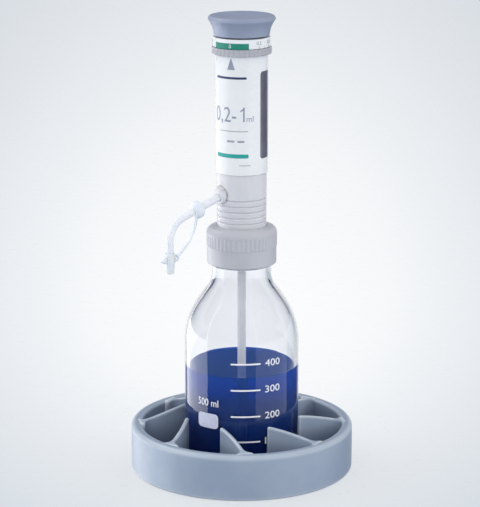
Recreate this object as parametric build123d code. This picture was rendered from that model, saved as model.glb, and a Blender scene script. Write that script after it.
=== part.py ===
from build123d import *
from math import cos, degrees, pi, radians, sin, tan
import os

# Bottle top dispenser on a 500 ml reagent bottle, in its bottle stand.
# Millimetres, +Z up. The origin is the middle of the stand's underside, on the one axis that
# the stand, the bottle and the dispenser share. An azimuth is an angle about +Z, counted from
# -Y, the side that the scale is read from, towards +X.

# Clearances
running_fit = 0.05  # round pieces that turn or slide in each other, on the radius
seat_gap = 0.05  # pieces that are pressed or screwed into each other
free_gap = 0.3  # faces of moving pieces that stay clear of each other
ball_gap = 0.1  # a valve ball above its seat, square to the cone

# Roundings that several pieces share
fine_round = 0.4
edge_round = 0.5
soft_round = 0.8
full_round = 1.0

# Bottle stand
stand_radius = 84.0
stand_height = 34.5
stand_wall = 8.0
stand_floor = 3.0
stand_rim_round = 3.4
stand_foot_round = 2.0
vane_count = 8
vane_thickness = 3.0
vane_rise = 9.0  # how far the inner end stands above the rim
vane_lean = 15.5  # angle between the vane and the radius where it leaves the rim
vane_bend_radius = 117.0
vane_stretch = 1.4  # length of a vane along its curve, for each millimetre between rim and bottle
vane_azimuth = 25.5
bottle_play = 1.5  # between the bottle and the vanes, on the radius

# Bottle
bottle_radius = 43.0
bottle_height = 176.0
bottle_wall = 3.2
bottle_base = 4.0
bottle_foot_round = 6.0
bottle_punt_radius = 30.0
bottle_punt_height = 1.6
shoulder_radius = 56.0
shoulder_slope = 35.5  # angle between the shoulder's straight stretch and the axis
neck_radius = 22.2
neck_blend_radius = 22.8
neck_straight = 4.6  # plain neck between the shoulder's blend and the finish
neck_wall = 3.7
finish_radius = 20.6  # at the root of the mouth's thread
finish_height = 21.0
mouth_radius = 16.5
lip_round = 1.2
fill_level = 76.7  # the reagent's surface, above the bottle's base

# Valve block and the seal under it
seal_thickness = 1.0
flange_radius = 19.5
flange_thickness = 4.0
block_radius = 18.65
block_foot_radius = 18.3
block_height = 48.7
spigot_height = 7.3
nipple_radius = 7.5
nipple_length = 20.0
groove_count = 5
groove_pitch = 4.35
groove_top = 29.1  # the highest groove, above the block's base
groove_width = 1.0
groove_depth = 0.5
channel_radius = 1.5

# Suction valve and tube
suction_seat_radius = 5.5
suction_seat_height = 10.0
suction_ball_radius = 2.0
suction_port_radius = 1.0
suction_cone_radius = 2.6
suction_barb_length = 9.0
ball_lift = 0.8
suction_tube_radius = 3.25
suction_tube_bore = 2.0
suction_tube_floor = 5.0  # between the tube's tip and the inside of the bottle's base

# Discharge valve
discharge_pocket_reach = 12.3  # from the dispenser's axis, towards the spout
discharge_pocket_radius = 3.0
discharge_seat_z = 19.0  # above the block's base
discharge_seat_height = 4.0
discharge_ball_radius = 1.6
discharge_port_radius = 0.8
discharge_cone_radius = 2.1
discharge_plug_z = 39.0  # above the block's base
discharge_stop_radius = 1.1

# Spout
spout_azimuth = -33.0
spout_drop = 20.2  # slope below the horizontal
spout_height = 38.5  # where the spout's line meets the dispenser's axis, above the block's base
spout_reach = 62.6
spout_bend_radius = 18.0
spout_radius = 2.8
spout_bore = 1.5
spout_socket_reach = 16.0
spout_tip_z = -19.5  # above the block's base
spout_tip_radius = 1.9
spout_tip_bore = 0.9
spout_tip_length = 10.0
spout_taper_length = 4.0
boss_radius = 6.6
boss_reach = 20.4
boss_round = 1.8

# Spout cap with its tether
tether_ring_back = 23.6  # how far the ring sits short of the spout's bend corner
tether_ring_radius = 6.6
tether_ring_width = 7.0
tether_ring_round = 2.3
strap_radius = 1.35
strap_bow = 4.0
strap_sink = 1.3  # depth of the strap's start below the spout, in strap radii
strap_end_back = 5.4  # how far the strap ends short of the cap's axis
cap_top_radius = 3.5
cap_foot_radius = 2.85
cap_floor = 1.7
cap_collar_height = 2.4
wing_height = 5.4
wing_thickness = 3.2
outer_wing = 8.9
inner_wing = 7.6
wing_round = 0.7

# Cylinder and piston
dose_volume = 1000.0  # cubic millimetres at the highest setting
piston_radius = 3.0
cylinder_radius = 5.0
cylinder_length = 52.3
cylinder_socket_z = 25.0  # above the block's base
o_ring_section = 0.85
o_ring_rise = 2.0  # above the bottom of the cylinder
piston_seal_height = 3.2
retainer_radius = 7.6
retainer_thread_radius = 8.05
retainer_thread_length = 10.0
retainer_lip = 2.0
piston_foot_gap = 2.0
piston_chamfer = 0.6

# Outer sleeve
sleeve_radius = 19.4
sleeve_wall = 2.2
sleeve_height = 88.3
sleeve_ledge_height = 71.8  # the bearing's seat, above the sleeve's lower edge
sleeve_ledge_width = 0.8
sleeve_ledge_thickness = 2.5
window_azimuth = 90.0
window_width = 14.4
window_height = 65.0
window_foot = 11.5  # above the sleeve's lower edge
window_round = 2.6
window_sink = 0.1
guide_rib_thickness = 2.0
guide_rib_depth = 2.9
stop_azimuth = 180.0

# Dial: the volume scale ring and its stepped stop cam
dial_radius = 21.24
dial_height = 7.0
dial_hub_wall = 3.0
dial_rim_wall = 1.9
dial_recess_depth = 4.0
cam_radius = 13.5
cam_wall = 2.2
cam_flange_radius = 14.9
cam_flange_thickness = 1.2
bearing_thickness = 3.5
clip_thickness = 1.0
clip_radius = 15.0
clip_groove_depth = 0.6
clip_opening = 24.0
volume_steps = 9
lowest_volume = 0.2  # share of dose_volume at the first step
step_angle = 30.0
first_step_angle = 60.0

# Locking ring
lock_ring_radius = 22.07
lock_ring_height = 5.2
lock_ring_overlap = 0.3
lock_ring_travel = 2.5
lock_flange_thickness = 1.8
lock_flange_bore = 14.2
lock_key_count = 2
lock_key_width = 3.4
lock_key_thickness = 1.8
lock_key_bite = 0.8  # how far a key reaches into the sleeve's wall
lock_key_engagement = 1.5
lock_rib_count = 38
lock_notch_radius = 0.8
lock_notch_depth = 0.35
spring_radius = 15.3
spring_wire_radius = 0.4
spring_turns = 4.0

# Plunger
stem_radius = 11.0
stem_wall = 1.8
stem_skirt = 6.5  # how far the stem hangs down past the top of the cylinder's retainer
stem_top_depth = 9.2  # how far the stem reaches up into the knob
stop_pin_radius = 2.0
stop_pin_rise = 4.0  # the pin's axis above the stem's lower edge
stop_pin_reach = 16.5
coupling_height = 8.0
coupling_rise = 3.5  # above the top of the cylinder's retainer
coupling_ledge = 1.0
piston_grip = 7.0
knob_gap = 1.1
knob_foot_radius = 20.6
knob_radius = 24.9
knob_height = 14.2
knob_waist_radius = 22.3
knob_waist_height = 7.0
knob_rim_height = 2.6
knob_dish_depth = 1.2
knob_rim_width = 2.2
knob_wall = 2.4

# Screw collar
collar_radius = 26.35
collar_skirt_radius = 25.95
collar_foot = 21.0  # how far the collar hangs below the block's base
collar_shoulder_round = 5.0
collar_dome_drop = 1.9  # from the hole's edge to the shoulder
collar_top = 8.1  # above the block's base
collar_bore = 22.7
collar_foot_round = 1.6
collar_rib_foot = 13.8  # above the collar's lower edge
collar_rib_height = 9.4
collar_rib_count = 48
collar_notch_radius = 0.6
collar_notch_depth = 0.45

# Levels, from the floor up
bottle_z = stand_floor
mouth_z = bottle_z + bottle_height
block_z = mouth_z + seal_thickness
sleeve_z = block_z + block_height
socket_z = block_z + cylinder_socket_z
cylinder_top = socket_z + cylinder_length
retainer_top = cylinder_top + piston_seal_height + retainer_lip
bearing_z = sleeve_z + sleeve_ledge_height
sleeve_top = sleeve_z + sleeve_height
lock_ring_z = sleeve_top - lock_ring_overlap
lock_ring_top = lock_ring_z + lock_ring_height
dial_z = lock_ring_top + free_gap
dial_top = dial_z + dial_height
knob_z = dial_top + knob_gap
stem_z = retainer_top - stem_skirt
stem_top = knob_z + stem_top_depth
stop_pin_z = stem_z + stop_pin_rise
coupling_z = retainer_top + coupling_rise
clip_z = bearing_z - free_gap - clip_thickness
collar_z = block_z - collar_foot
spout_tip = block_z + spout_tip_z
tether_ring_reach = spout_reach - tether_ring_back

sleeve_bore = sleeve_radius - sleeve_wall
stem_bore = stem_radius - stem_wall
full_stroke = dose_volume / (pi * piston_radius**2)
spout_slope = tan(radians(spout_drop))


def facing(azimuth, shape):
    """A shape drawn along +X, turned about the axis to face an azimuth."""
    return Rot(0, 0, azimuth - 90) * shape


def outline(*corners):
    """A closed face; each corner is (x, y) or (x, y, rounding radius)."""
    points = [(corner[0], corner[1]) for corner in corners]
    rounds = [corner[2] if len(corner) > 2 else 0 for corner in corners]
    return make_face(FilletPolyline(*points, radius=rounds, close=True))


def turned(*corners, angle=360.0):
    """A solid turned about the axis; each corner is (radius, height) or (radius, height, rounding)."""
    return revolve(Plane.XZ * outline(*corners), Axis.Z, angle)


def rod(radius, low, high):
    """A plain round bar on the axis."""
    return Pos(0, 0, low) * extrude(Circle(radius), high - low)


def tube(outer, inner, low, high):
    """A plain tube on the axis."""
    return Pos(0, 0, low) * extrude(Circle(outer) - Circle(inner), high - low)


def around(count, shape):
    """Copies of a shape, evenly spaced about the axis."""
    return [Rot(0, 0, 360 / count * i) * shape for i in range(count)]


def spout_height_at(reach):
    """Height of the spout's sloping line at a distance from the dispenser's axis."""
    return block_z + spout_height - spout_slope * reach


def along_spout(reach):
    """Place on the spout's sloping line, with the local Z running down the spout."""
    return Pos(reach, 0, spout_height_at(reach)) * Rot(0, 90 + spout_drop, 0)


# Bottle stand


def vane():
    """One upright blade: a bent strip from the rim to the bottle, with a top that rises inwards."""
    rim = stand_radius - stand_wall
    root = rim + vane_thickness / 2
    inner = bottle_radius + bottle_play
    lean = radians(vane_lean)
    length = vane_stretch * (root - inner)
    path = JernArc((root, 0), (-cos(lean), -sin(lean)), vane_bend_radius, degrees(length / vane_bend_radius))
    strip = extrude(trace(path, vane_thickness), stand_height + vane_rise)
    rising = turned(
        (inner, stand_floor / 2),
        (inner, stand_height + vane_rise),
        (rim, stand_height),
        (stand_radius, stand_height),
        (stand_radius, stand_floor / 2),
    )
    return strip & rising


def bottle_stand():
    """Shallow dish with a thick rim and curved vanes that centre the bottle."""
    rim = stand_radius - stand_wall
    dish = turned(
        (0, 0),
        (stand_radius, 0, stand_foot_round),
        (stand_radius, stand_height, stand_rim_round),
        (rim, stand_height, stand_rim_round),
        (rim, stand_floor),
        (0, stand_floor),
    )
    vanes = [facing(vane_azimuth, blade) for blade in around(vane_count, vane())]
    return dish + vanes


# Bottle and reagent


def bottle_outline(wall, neck, low):
    """Half section of the bottle, inset by its wall: foot, body, shoulder and neck."""
    slope = radians(shoulder_slope)
    half_turn = tan(slope / 2)
    body = bottle_radius - wall
    throat = neck_radius - neck
    shoulder = shoulder_radius - wall
    blend = neck_blend_radius + neck
    neck_corner = mouth_z - finish_height - neck_straight - neck_blend_radius * half_turn
    lower_corner = neck_corner - (bottle_radius - neck_radius) / tan(slope) - wall * half_turn
    upper_corner = lower_corner + (body - throat) / tan(slope)
    return (
        (0, low),
        (body, low, max(bottle_foot_round - wall, 0)),
        (body, lower_corner, shoulder),
        (throat, upper_corner, blend),
    )


def bottle():
    """Round glass bottle with a threaded mouth, a rounded shoulder and a slightly raised base."""
    finish_z = mouth_z - finish_height
    hollow_top = finish_z + finish_radius - mouth_radius
    shell = turned(
        *bottle_outline(0, 0, bottle_z),
        (neck_radius, finish_z),
        (finish_radius, finish_z),
        (finish_radius, mouth_z, lip_round),
        (0, mouth_z),
    )
    hollow = turned(
        *bottle_outline(bottle_wall, neck_wall, bottle_z + bottle_base),
        (neck_radius - neck_wall, finish_z),
        (mouth_radius, hollow_top),
        (mouth_radius, mouth_z + lip_round),
        (0, mouth_z + lip_round),
    )
    lip = turned(
        (mouth_radius, mouth_z),
        (mouth_radius + lip_round, mouth_z),
        (mouth_radius, mouth_z - lip_round),
    )
    dome = (bottle_punt_radius**2 + bottle_punt_height**2) / (2 * bottle_punt_height)
    punt = Pos(0, 0, bottle_z + bottle_punt_height - dome) * Sphere(dome)
    return shell - hollow - lip - punt


def reagent():
    """Liquid in the bottle, with room for the suction tube."""
    gap = bottle_wall + seat_gap
    corners = bottle_outline(gap, neck_wall, bottle_z + bottle_base + seat_gap)
    level = bottle_z + fill_level
    liquid = turned(*corners[:2], (bottle_radius - gap, level), (0, level))
    tube_room = suction_tube_radius + free_gap
    return liquid - rod(tube_room, suction_tip_z() - free_gap, level)


def bottle_seal():
    """Flat washer between the bottle's mouth and the valve block."""
    return tube(finish_radius - free_gap, mouth_radius, mouth_z, block_z)


# Valve block and valves


def ball_height(ball_radius, port_radius):
    """Height of a resting ball's centre above the foot of its 45 degree seat."""
    return (ball_radius + ball_gap) / cos(pi / 4) - port_radius


def seat_cone(port_radius, cone_radius, top):
    """Space above a valve port: a 45 degree cone that ends at the seat's top face."""
    return turned((0, top), (0, top - cone_radius), (cone_radius, top))


suction_foot_z = block_z - nipple_length
suction_seat_top = suction_foot_z + suction_seat_height
suction_ball_z = (
    suction_seat_top
    - suction_cone_radius
    + suction_port_radius
    + ball_height(suction_ball_radius, suction_port_radius)
)
discharge_seat_foot = block_z + discharge_seat_z
discharge_seat_top = discharge_seat_foot + discharge_seat_height
discharge_ball_z = (
    discharge_seat_top
    - discharge_cone_radius
    + discharge_port_radius
    + ball_height(discharge_ball_radius, discharge_port_radius)
)
spigot_radius = sleeve_bore - seat_gap
spigot_top = sleeve_z + spigot_height
thread_z = spigot_top - retainer_thread_length


def suction_tip_z():
    """Height of the suction tube's lowest point."""
    return bottle_z + bottle_base + suction_tube_floor


def at_discharge(shape):
    """A shape on the axis, moved to the discharge valve's place in the block."""
    return facing(spout_azimuth, Pos(discharge_pocket_reach, 0, 0) * shape)


def block_channels():
    """All hollows of the valve block: cylinder socket, valve pockets and the ways between them."""
    chamber_z = discharge_seat_foot - discharge_cone_radius
    ball_room = suction_ball_z + suction_ball_radius + ball_lift + free_gap
    way_radius = discharge_port_radius + free_gap
    way_z = chamber_z + way_radius
    cross_way = Pos(0, 0, way_z) * Rot(0, 90, 0) * rod(way_radius, 0, discharge_pocket_reach)
    outlet_length = spout_socket_reach - discharge_pocket_reach
    outlet = along_spout(discharge_pocket_reach) * rod(spout_bore, 0, outlet_length)
    socket = along_spout(spout_socket_reach) * rod(spout_radius + seat_gap, 0, block_radius)
    ring_room = o_ring_section + seat_gap
    ring_z = socket_z + o_ring_rise - ring_room
    return [
        rod(suction_seat_radius + seat_gap, suction_foot_z, suction_seat_top),
        rod(suction_cone_radius + free_gap, suction_seat_top, ball_room),
        rod(channel_radius, ball_room, chamber_z),
        rod(piston_radius, chamber_z, socket_z),
        rod(cylinder_radius + seat_gap, socket_z, thread_z),
        rod(cylinder_radius + 2 * ring_room, ring_z, ring_z + 2 * ring_room),
        rod(retainer_thread_radius + seat_gap, thread_z, spigot_top),
        at_discharge(rod(discharge_cone_radius, chamber_z, discharge_seat_foot)),
        at_discharge(rod(discharge_pocket_radius + seat_gap, discharge_seat_foot, spigot_top)),
        facing(spout_azimuth, cross_way),
        facing(spout_azimuth, outlet),
        facing(spout_azimuth, socket),
    ]


def valve_block():
    """Moulded body under the sleeve: flange on the bottle, ringed waist, spout boss and spigot."""
    body = turned(
        (0, suction_foot_z),
        (nipple_radius, suction_foot_z, full_round),
        (nipple_radius, block_z),
        (flange_radius, block_z),
        (flange_radius, block_z + flange_thickness),
        (block_foot_radius, block_z + flange_thickness),
        (block_radius, sleeve_z),
        (spigot_radius, sleeve_z),
        (spigot_radius, spigot_top),
        (0, spigot_top),
    )
    face = boss_reach / cos(radians(spout_drop))
    knob = turned((0, 0), (boss_radius, 0), (boss_radius, face, boss_round), (0, face))
    body += facing(spout_azimuth, along_spout(0) * knob)
    grooves = []
    for i in range(groove_count):
        low = block_z + groove_top - groove_pitch * i - groove_width / 2
        groove = tube(block_radius + groove_width, block_foot_radius - groove_depth, low, low + groove_width)
        grooves.append(groove)
    return body - grooves - block_channels()


def suction_valve_seat():
    """Insert in the block's nipple: a seat for the ball and a barb for the suction tube."""
    barb = suction_tube_bore - seat_gap
    barb_foot = suction_foot_z - suction_barb_length
    insert = turned(
        (0, barb_foot),
        (barb, barb_foot, edge_round),
        (barb, suction_foot_z - seat_gap),
        (nipple_radius, suction_foot_z - seat_gap),
        (nipple_radius, suction_foot_z),
        (suction_seat_radius, suction_foot_z),
        (suction_seat_radius, suction_seat_top),
        (0, suction_seat_top),
    )
    port = rod(suction_port_radius, barb_foot, suction_seat_top)
    return insert - port - seat_cone(suction_port_radius, suction_cone_radius, suction_seat_top)


def suction_valve_ball():
    return Pos(0, 0, suction_ball_z) * Sphere(suction_ball_radius)


def suction_tube():
    """Straight tube down into the reagent, cut at an angle at its tip."""
    top = suction_foot_z - 2 * seat_gap
    low = suction_tip_z()
    pipe = tube(suction_tube_radius, suction_tube_bore, low, top)
    bevel = Pos(0, 0, low) * Rot(0, -45, 0) * Pos(0, 0, -suction_tube_radius) * Box(
        6 * suction_tube_radius, 4 * suction_tube_radius, 2 * suction_tube_radius
    )
    return pipe - bevel


def discharge_valve_seat():
    """Insert at the bottom of the discharge pocket, with the seat for the ball."""
    insert = rod(discharge_pocket_radius, discharge_seat_foot, discharge_seat_top)
    port = rod(discharge_port_radius, discharge_seat_foot, discharge_seat_top)
    cone = seat_cone(discharge_port_radius, discharge_cone_radius, discharge_seat_top)
    return at_discharge(insert - port - cone)


def discharge_valve_ball():
    return at_discharge(Pos(0, 0, discharge_ball_z) * Sphere(discharge_ball_radius))


def discharge_valve_plug():
    """Plug that closes the discharge pocket, with a pin that stops the ball."""
    stop_z = discharge_ball_z + discharge_ball_radius + ball_lift + free_gap
    plug_z = block_z + discharge_plug_z
    return at_discharge(
        turned(
            (0, stop_z),
            (discharge_stop_radius, stop_z, fine_round),
            (discharge_stop_radius, plug_z),
            (discharge_pocket_radius, plug_z),
            (discharge_pocket_radius, spigot_top),
            (0, spigot_top),
        )
    )


# Spout, tether and cap


def discharge_tube():
    """Rigid bent tube: sloping run, one bend, and a drawn tip that the cap closes."""
    start = (spout_socket_reach, spout_height_at(spout_socket_reach))
    corner = (spout_reach, spout_height_at(spout_reach))
    taper_z = spout_tip + spout_tip_length + spout_taper_length
    path = Plane.XZ * FilletPolyline(start, corner, (spout_reach, taper_z), radius=[spout_bend_radius])
    section = Plane(along_spout(spout_socket_reach)) * (Circle(spout_radius) - Circle(spout_bore))
    bend = sweep(section, path=path)
    neck_z = spout_tip + spout_tip_length
    tip = turned(
        (spout_tip_bore, spout_tip),
        (spout_tip_radius, spout_tip, fine_round),
        (spout_tip_radius, neck_z),
        (spout_radius, taper_z),
        (spout_bore, taper_z),
        (spout_tip_bore, neck_z),
    )
    return facing(spout_azimuth, bend + Pos(spout_reach, 0, 0) * tip)


def tether_ring():
    """Rounded ring that grips the spout and carries the tether."""
    half = tether_ring_width / 2
    bore = spout_radius + seat_gap
    ring = turned(
        (bore, -half),
        (tether_ring_radius, -half, tether_ring_round),
        (tether_ring_radius, half, tether_ring_round),
        (bore, half),
    )
    return facing(spout_azimuth, along_spout(tether_ring_reach) * ring)


wing_z = spout_tip + spout_tip_length + spout_taper_length - cap_collar_height - wing_height / 2


def cap_tether():
    """Strap that bows from the ring to the cap's inner wing."""
    drop = radians(spout_drop)
    depth = spout_radius + strap_sink * strap_radius
    start_reach = tether_ring_reach + tether_ring_width / 4
    start = (start_reach - depth * sin(drop), spout_height_at(start_reach) - depth * cos(drop))
    end = (spout_reach - strap_end_back, wing_z + wing_height / 2 + free_gap)
    path = Plane.XZ * SagittaArc(start, end, strap_bow)
    section = Plane(origin=path @ 0, z_dir=path % 0) * Circle(strap_radius)
    strap = facing(spout_azimuth, sweep(section, path=path))
    room = rod(spout_reach / 2, 0, wing_z + wing_height / 2 + free_gap)
    below_cap = facing(spout_azimuth, Pos(spout_reach, 0, 0) * room)
    return strap - tether_ring() - below_cap


def spout_cap():
    """Closed cap on the spout's tip: a tapered skirt, a collar and two wings to pull it by."""
    low = spout_tip - cap_floor
    wing_foot = wing_z - wing_height / 2
    wing_top = wing_z + wing_height / 2
    collar_top_z = wing_top + cap_collar_height - free_gap
    skirt = turned(
        (0, low),
        (cap_foot_radius, low, full_round),
        (cap_top_radius, wing_foot),
        (cap_top_radius, collar_top_z, edge_round),
        (0, collar_top_z),
    )
    wings = outline(
        (-inner_wing, wing_z + wing_height * 0.2, full_round),
        (-inner_wing * 0.6, wing_top, full_round),
        (0, wing_top),
        (outer_wing * 0.4, wing_top, full_round),
        (outer_wing, wing_z - wing_height * 0.1, soft_round),
        (outer_wing * 0.6, wing_foot, full_round),
        (-inner_wing * 0.5, wing_foot, full_round),
        (-inner_wing, wing_z - wing_height * 0.2, full_round),
    )
    blades = extrude(Plane.XZ * wings, wing_thickness / 2, both=True)
    blades = fillet(blades.edges().filter_by(Axis.Y, reverse=True), wing_round)
    tip_room = spout_tip_radius + free_gap
    neck_z = spout_tip + spout_tip_length
    taper_z = neck_z + spout_taper_length
    hollow = turned(
        (0, spout_tip - free_gap),
        (tip_room, spout_tip - free_gap),
        (tip_room, neck_z - free_gap),
        (spout_radius + free_gap, taper_z - free_gap),
        (spout_radius + free_gap, taper_z + cap_collar_height),
        (0, taper_z + cap_collar_height),
    )
    return facing(spout_azimuth, Pos(spout_reach, 0, 0) * (skirt + blades - hollow))


# Cylinder and piston


def glass_cylinder():
    return tube(cylinder_radius, piston_radius + running_fit, socket_z, cylinder_top)


def cylinder_o_ring():
    """Seal between the cylinder's foot and the valve block."""
    reach = cylinder_radius + seat_gap + o_ring_section
    return Pos(0, 0, socket_z + o_ring_rise) * Torus(reach, o_ring_section)


def piston_seal():
    """Lip ring on top of the cylinder that wipes the piston."""
    bore = piston_radius + running_fit
    top = cylinder_top + piston_seal_height
    lip = piston_seal_height / 3
    return turned(
        (bore, cylinder_top),
        (cylinder_radius, cylinder_top),
        (cylinder_radius, top),
        (cylinder_radius - lip, top),
        (cylinder_radius - lip, top - lip),
        (bore, top),
    )


def cylinder_retainer():
    """Screwed tube that clamps the cylinder and its seal down into the valve block."""
    inner = cylinder_radius + seat_gap
    seal_top = cylinder_top + piston_seal_height
    return turned(
        (inner, thread_z),
        (retainer_thread_radius, thread_z),
        (retainer_thread_radius, spigot_top),
        (retainer_radius, spigot_top),
        (retainer_radius, retainer_top, soft_round),
        (piston_radius + free_gap, retainer_top),
        (piston_radius + free_gap, seal_top),
        (inner, seal_top),
    )


def ceramic_piston():
    """Ground ceramic rod, chamfered at its working end."""
    low = socket_z + piston_foot_gap
    top = coupling_z + piston_grip
    return turned(
        (0, low),
        (piston_radius - piston_chamfer, low),
        (piston_radius, low + piston_chamfer),
        (piston_radius, top),
        (0, top),
    )


def piston_coupling():
    """Disc that holds the piston's head inside the stem."""
    disc = rod(stem_bore - seat_gap, coupling_z, coupling_z + coupling_height)
    return disc - rod(piston_radius + seat_gap, coupling_z, coupling_z + piston_grip)


# Sleeve and the parts in it


def window_block(gap, inner, outer):
    """Rounded upright slab through the sleeve's wall, at the window's place."""
    width = window_width - 2 * gap
    height = window_height - 2 * gap
    middle = sleeve_z + window_foot + window_height / 2
    slab = extrude(Plane.YZ * RectangleRounded(width, height, window_round), outer)
    return facing(window_azimuth, Pos(0, 0, middle) * slab) & tube(
        outer, inner, middle - window_height, middle + window_height
    )


def outer_sleeve():
    """White casing: window opening, ledge for the bearing, key grooves and guide for the stop pin."""
    wall = tube(sleeve_radius, sleeve_bore, sleeve_z, sleeve_top)
    ledge_z = bearing_z - sleeve_ledge_thickness
    ledge_bore = sleeve_bore - sleeve_ledge_width
    ledge = turned(
        (sleeve_bore + sleeve_wall / 2, ledge_z - sleeve_ledge_width),
        (sleeve_bore, ledge_z - sleeve_ledge_width),
        (ledge_bore, ledge_z),
        (ledge_bore, bearing_z),
        (sleeve_bore + sleeve_wall / 2, bearing_z),
    )
    slot = stop_pin_radius + free_gap
    rib_root = sleeve_bore + sleeve_wall / 2
    rib = Pos(rib_root, slot + guide_rib_thickness / 2, stem_z) * Box(
        guide_rib_depth + sleeve_wall / 2,
        guide_rib_thickness,
        ledge_z - stem_z,
        align=(Align.MAX, Align.CENTER, Align.MIN),
    )
    ribs = [facing(stop_azimuth, rib), facing(stop_azimuth, mirror(rib, Plane.XZ))]
    groove = Pos(sleeve_bore + lock_key_bite + free_gap, 0, sleeve_top) * Box(
        lock_key_thickness,
        lock_key_width + 2 * free_gap,
        lock_key_engagement + lock_ring_travel + free_gap,
        align=(Align.MAX, Align.CENTER, Align.MAX),
    )
    grooves = around(lock_key_count, groove)
    window = window_block(0, sleeve_bore, sleeve_radius + window_sink)
    return wall + ledge + ribs - grooves - window


def sleeve_window():
    """Dark strip set into the sleeve's window opening."""
    return window_block(seat_gap, sleeve_bore + seat_gap, sleeve_radius - window_sink)


def cam_bearing():
    """Ring on the sleeve's ledge that the stop cam turns in; the spring stands on it."""
    return tube(sleeve_bore - seat_gap, cam_radius + running_fit, bearing_z, bearing_z + bearing_thickness)


def lock_ring_spring():
    """Round wire spring between the bearing and the locking ring."""
    low = bearing_z + bearing_thickness + spring_wire_radius + seat_gap
    high = lock_ring_top - lock_flange_thickness - spring_wire_radius - seat_gap
    path = Pos(0, 0, low) * Helix(pitch=(high - low) / spring_turns, height=high - low, radius=spring_radius)
    section = Plane(origin=path @ 0, z_dir=path % 0) * Circle(spring_wire_radius)
    return sweep(section, path=path, is_frenet=True)


def locking_ring():
    """Ribbed ring that is pulled down to free the dial; two keys keep it from turning."""
    flange_z = lock_ring_top - lock_flange_thickness
    skirt_bore = sleeve_radius + free_gap
    ring = turned(
        (skirt_bore, lock_ring_z),
        (lock_ring_radius, lock_ring_z, soft_round),
        (lock_ring_radius, lock_ring_top, edge_round),
        (lock_flange_bore, lock_ring_top),
        (lock_flange_bore, flange_z),
        (skirt_bore, flange_z),
    )
    key_foot = sleeve_top - lock_key_engagement
    key = Pos(sleeve_bore + lock_key_bite, 0, key_foot) * Box(
        lock_key_thickness,
        lock_key_width,
        flange_z + lock_flange_thickness / 2 - key_foot,
        align=(Align.MAX, Align.CENTER, Align.MIN),
    )
    notch_reach = lock_ring_radius + lock_notch_radius - lock_notch_depth
    notch = Pos(notch_reach, 0, 0) * rod(lock_notch_radius, lock_ring_z, lock_ring_top - edge_round)
    return ring + around(lock_key_count, key) - around(lock_rib_count, notch)


# Dial


def volume_scale_ring():
    """White scale ring with a hub that is pressed onto the stop cam."""
    hub_bore = cam_radius + seat_gap
    recess_inner = hub_bore + dial_hub_wall
    recess_outer = dial_radius - dial_rim_wall
    flange_room = cam_flange_thickness + seat_gap
    return turned(
        (hub_bore, dial_z),
        (recess_inner, dial_z),
        (recess_inner, dial_z + dial_recess_depth),
        (recess_outer, dial_z + dial_recess_depth),
        (recess_outer, dial_z),
        (dial_radius, dial_z),
        (dial_radius, dial_top, edge_round),
        (cam_flange_radius + seat_gap, dial_top),
        (cam_flange_radius + seat_gap, dial_top - flange_room),
        (hub_bore, dial_top - flange_room),
    )


def step_stroke(step):
    """Piston stroke that one step of the cam allows."""
    span = 1.0 - lowest_volume
    return full_stroke * (lowest_volume + span * step / (volume_steps - 1))


def stop_cam():
    """Tube under the dial whose lower edge is a stair: each step stops the pin at one volume."""
    bore = cam_radius - cam_wall
    pin_top = stop_pin_z + stop_pin_radius
    lowest = pin_top + step_stroke(0) + free_gap
    cam = turned(
        (bore, lowest),
        (cam_radius, lowest),
        (cam_radius, dial_top - cam_flange_thickness),
        (cam_flange_radius, dial_top - cam_flange_thickness),
        (cam_flange_radius, dial_top),
        (bore, dial_top),
    )
    open_angle = 360 - step_angle * volume_steps
    rooms = [(step_angle, step_stroke(step)) for step in range(1, volume_steps)]
    rooms.append((open_angle, full_stroke + free_gap))
    azimuth = stop_azimuth + first_step_angle + step_angle / 2
    clip_floor = cam_radius - clip_groove_depth
    cam -= tube(cam_radius + cam_wall, clip_floor, clip_z - seat_gap, clip_z + clip_thickness + seat_gap)
    for angle, stroke in rooms:
        foot = pin_top + stroke + free_gap
        inner, outer, low = bore - cam_wall, cam_radius + cam_wall, lowest - cam_wall
        room = turned((inner, low), (outer, low), (outer, foot), (inner, foot), angle=angle)
        cam -= facing(azimuth, room)
        azimuth += angle
    return cam


def cam_clip():
    """Open spring clip in the cam's groove, under the bearing."""
    inner = cam_radius - clip_groove_depth + seat_gap
    clip = turned(
        (inner, clip_z),
        (clip_radius, clip_z),
        (clip_radius, clip_z + clip_thickness),
        (inner, clip_z + clip_thickness),
        angle=360 - clip_opening,
    )
    return clip


# Plunger


def plunger_stem():
    """Hollow stem through the cam; it carries the stop pin and the piston's coupling."""
    ledge_z = coupling_z + coupling_height
    stem = turned(
        (stem_bore, stem_z),
        (stem_radius, stem_z, edge_round),
        (stem_radius, stem_top, edge_round),
        (stem_bore, stem_top),
        (stem_bore, ledge_z + 2 * coupling_ledge),
        (stem_bore - coupling_ledge, ledge_z + coupling_ledge),
        (stem_bore - coupling_ledge, ledge_z),
        (stem_bore, ledge_z),
    )
    hole = Pos(0, 0, stop_pin_z) * Rot(0, 90, 0) * rod(stop_pin_radius + seat_gap, 0, 2 * stem_radius)
    return stem - facing(stop_azimuth, hole)


def stop_pin():
    """Round pin through the stem's wall that meets the cam's steps."""
    pin = turned(
        (0, stem_bore),
        (stop_pin_radius, stem_bore),
        (stop_pin_radius, stop_pin_reach, fine_round),
        (0, stop_pin_reach),
    )
    return facing(stop_azimuth, Pos(0, 0, stop_pin_z) * Rot(0, 90, 0) * pin)


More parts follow.
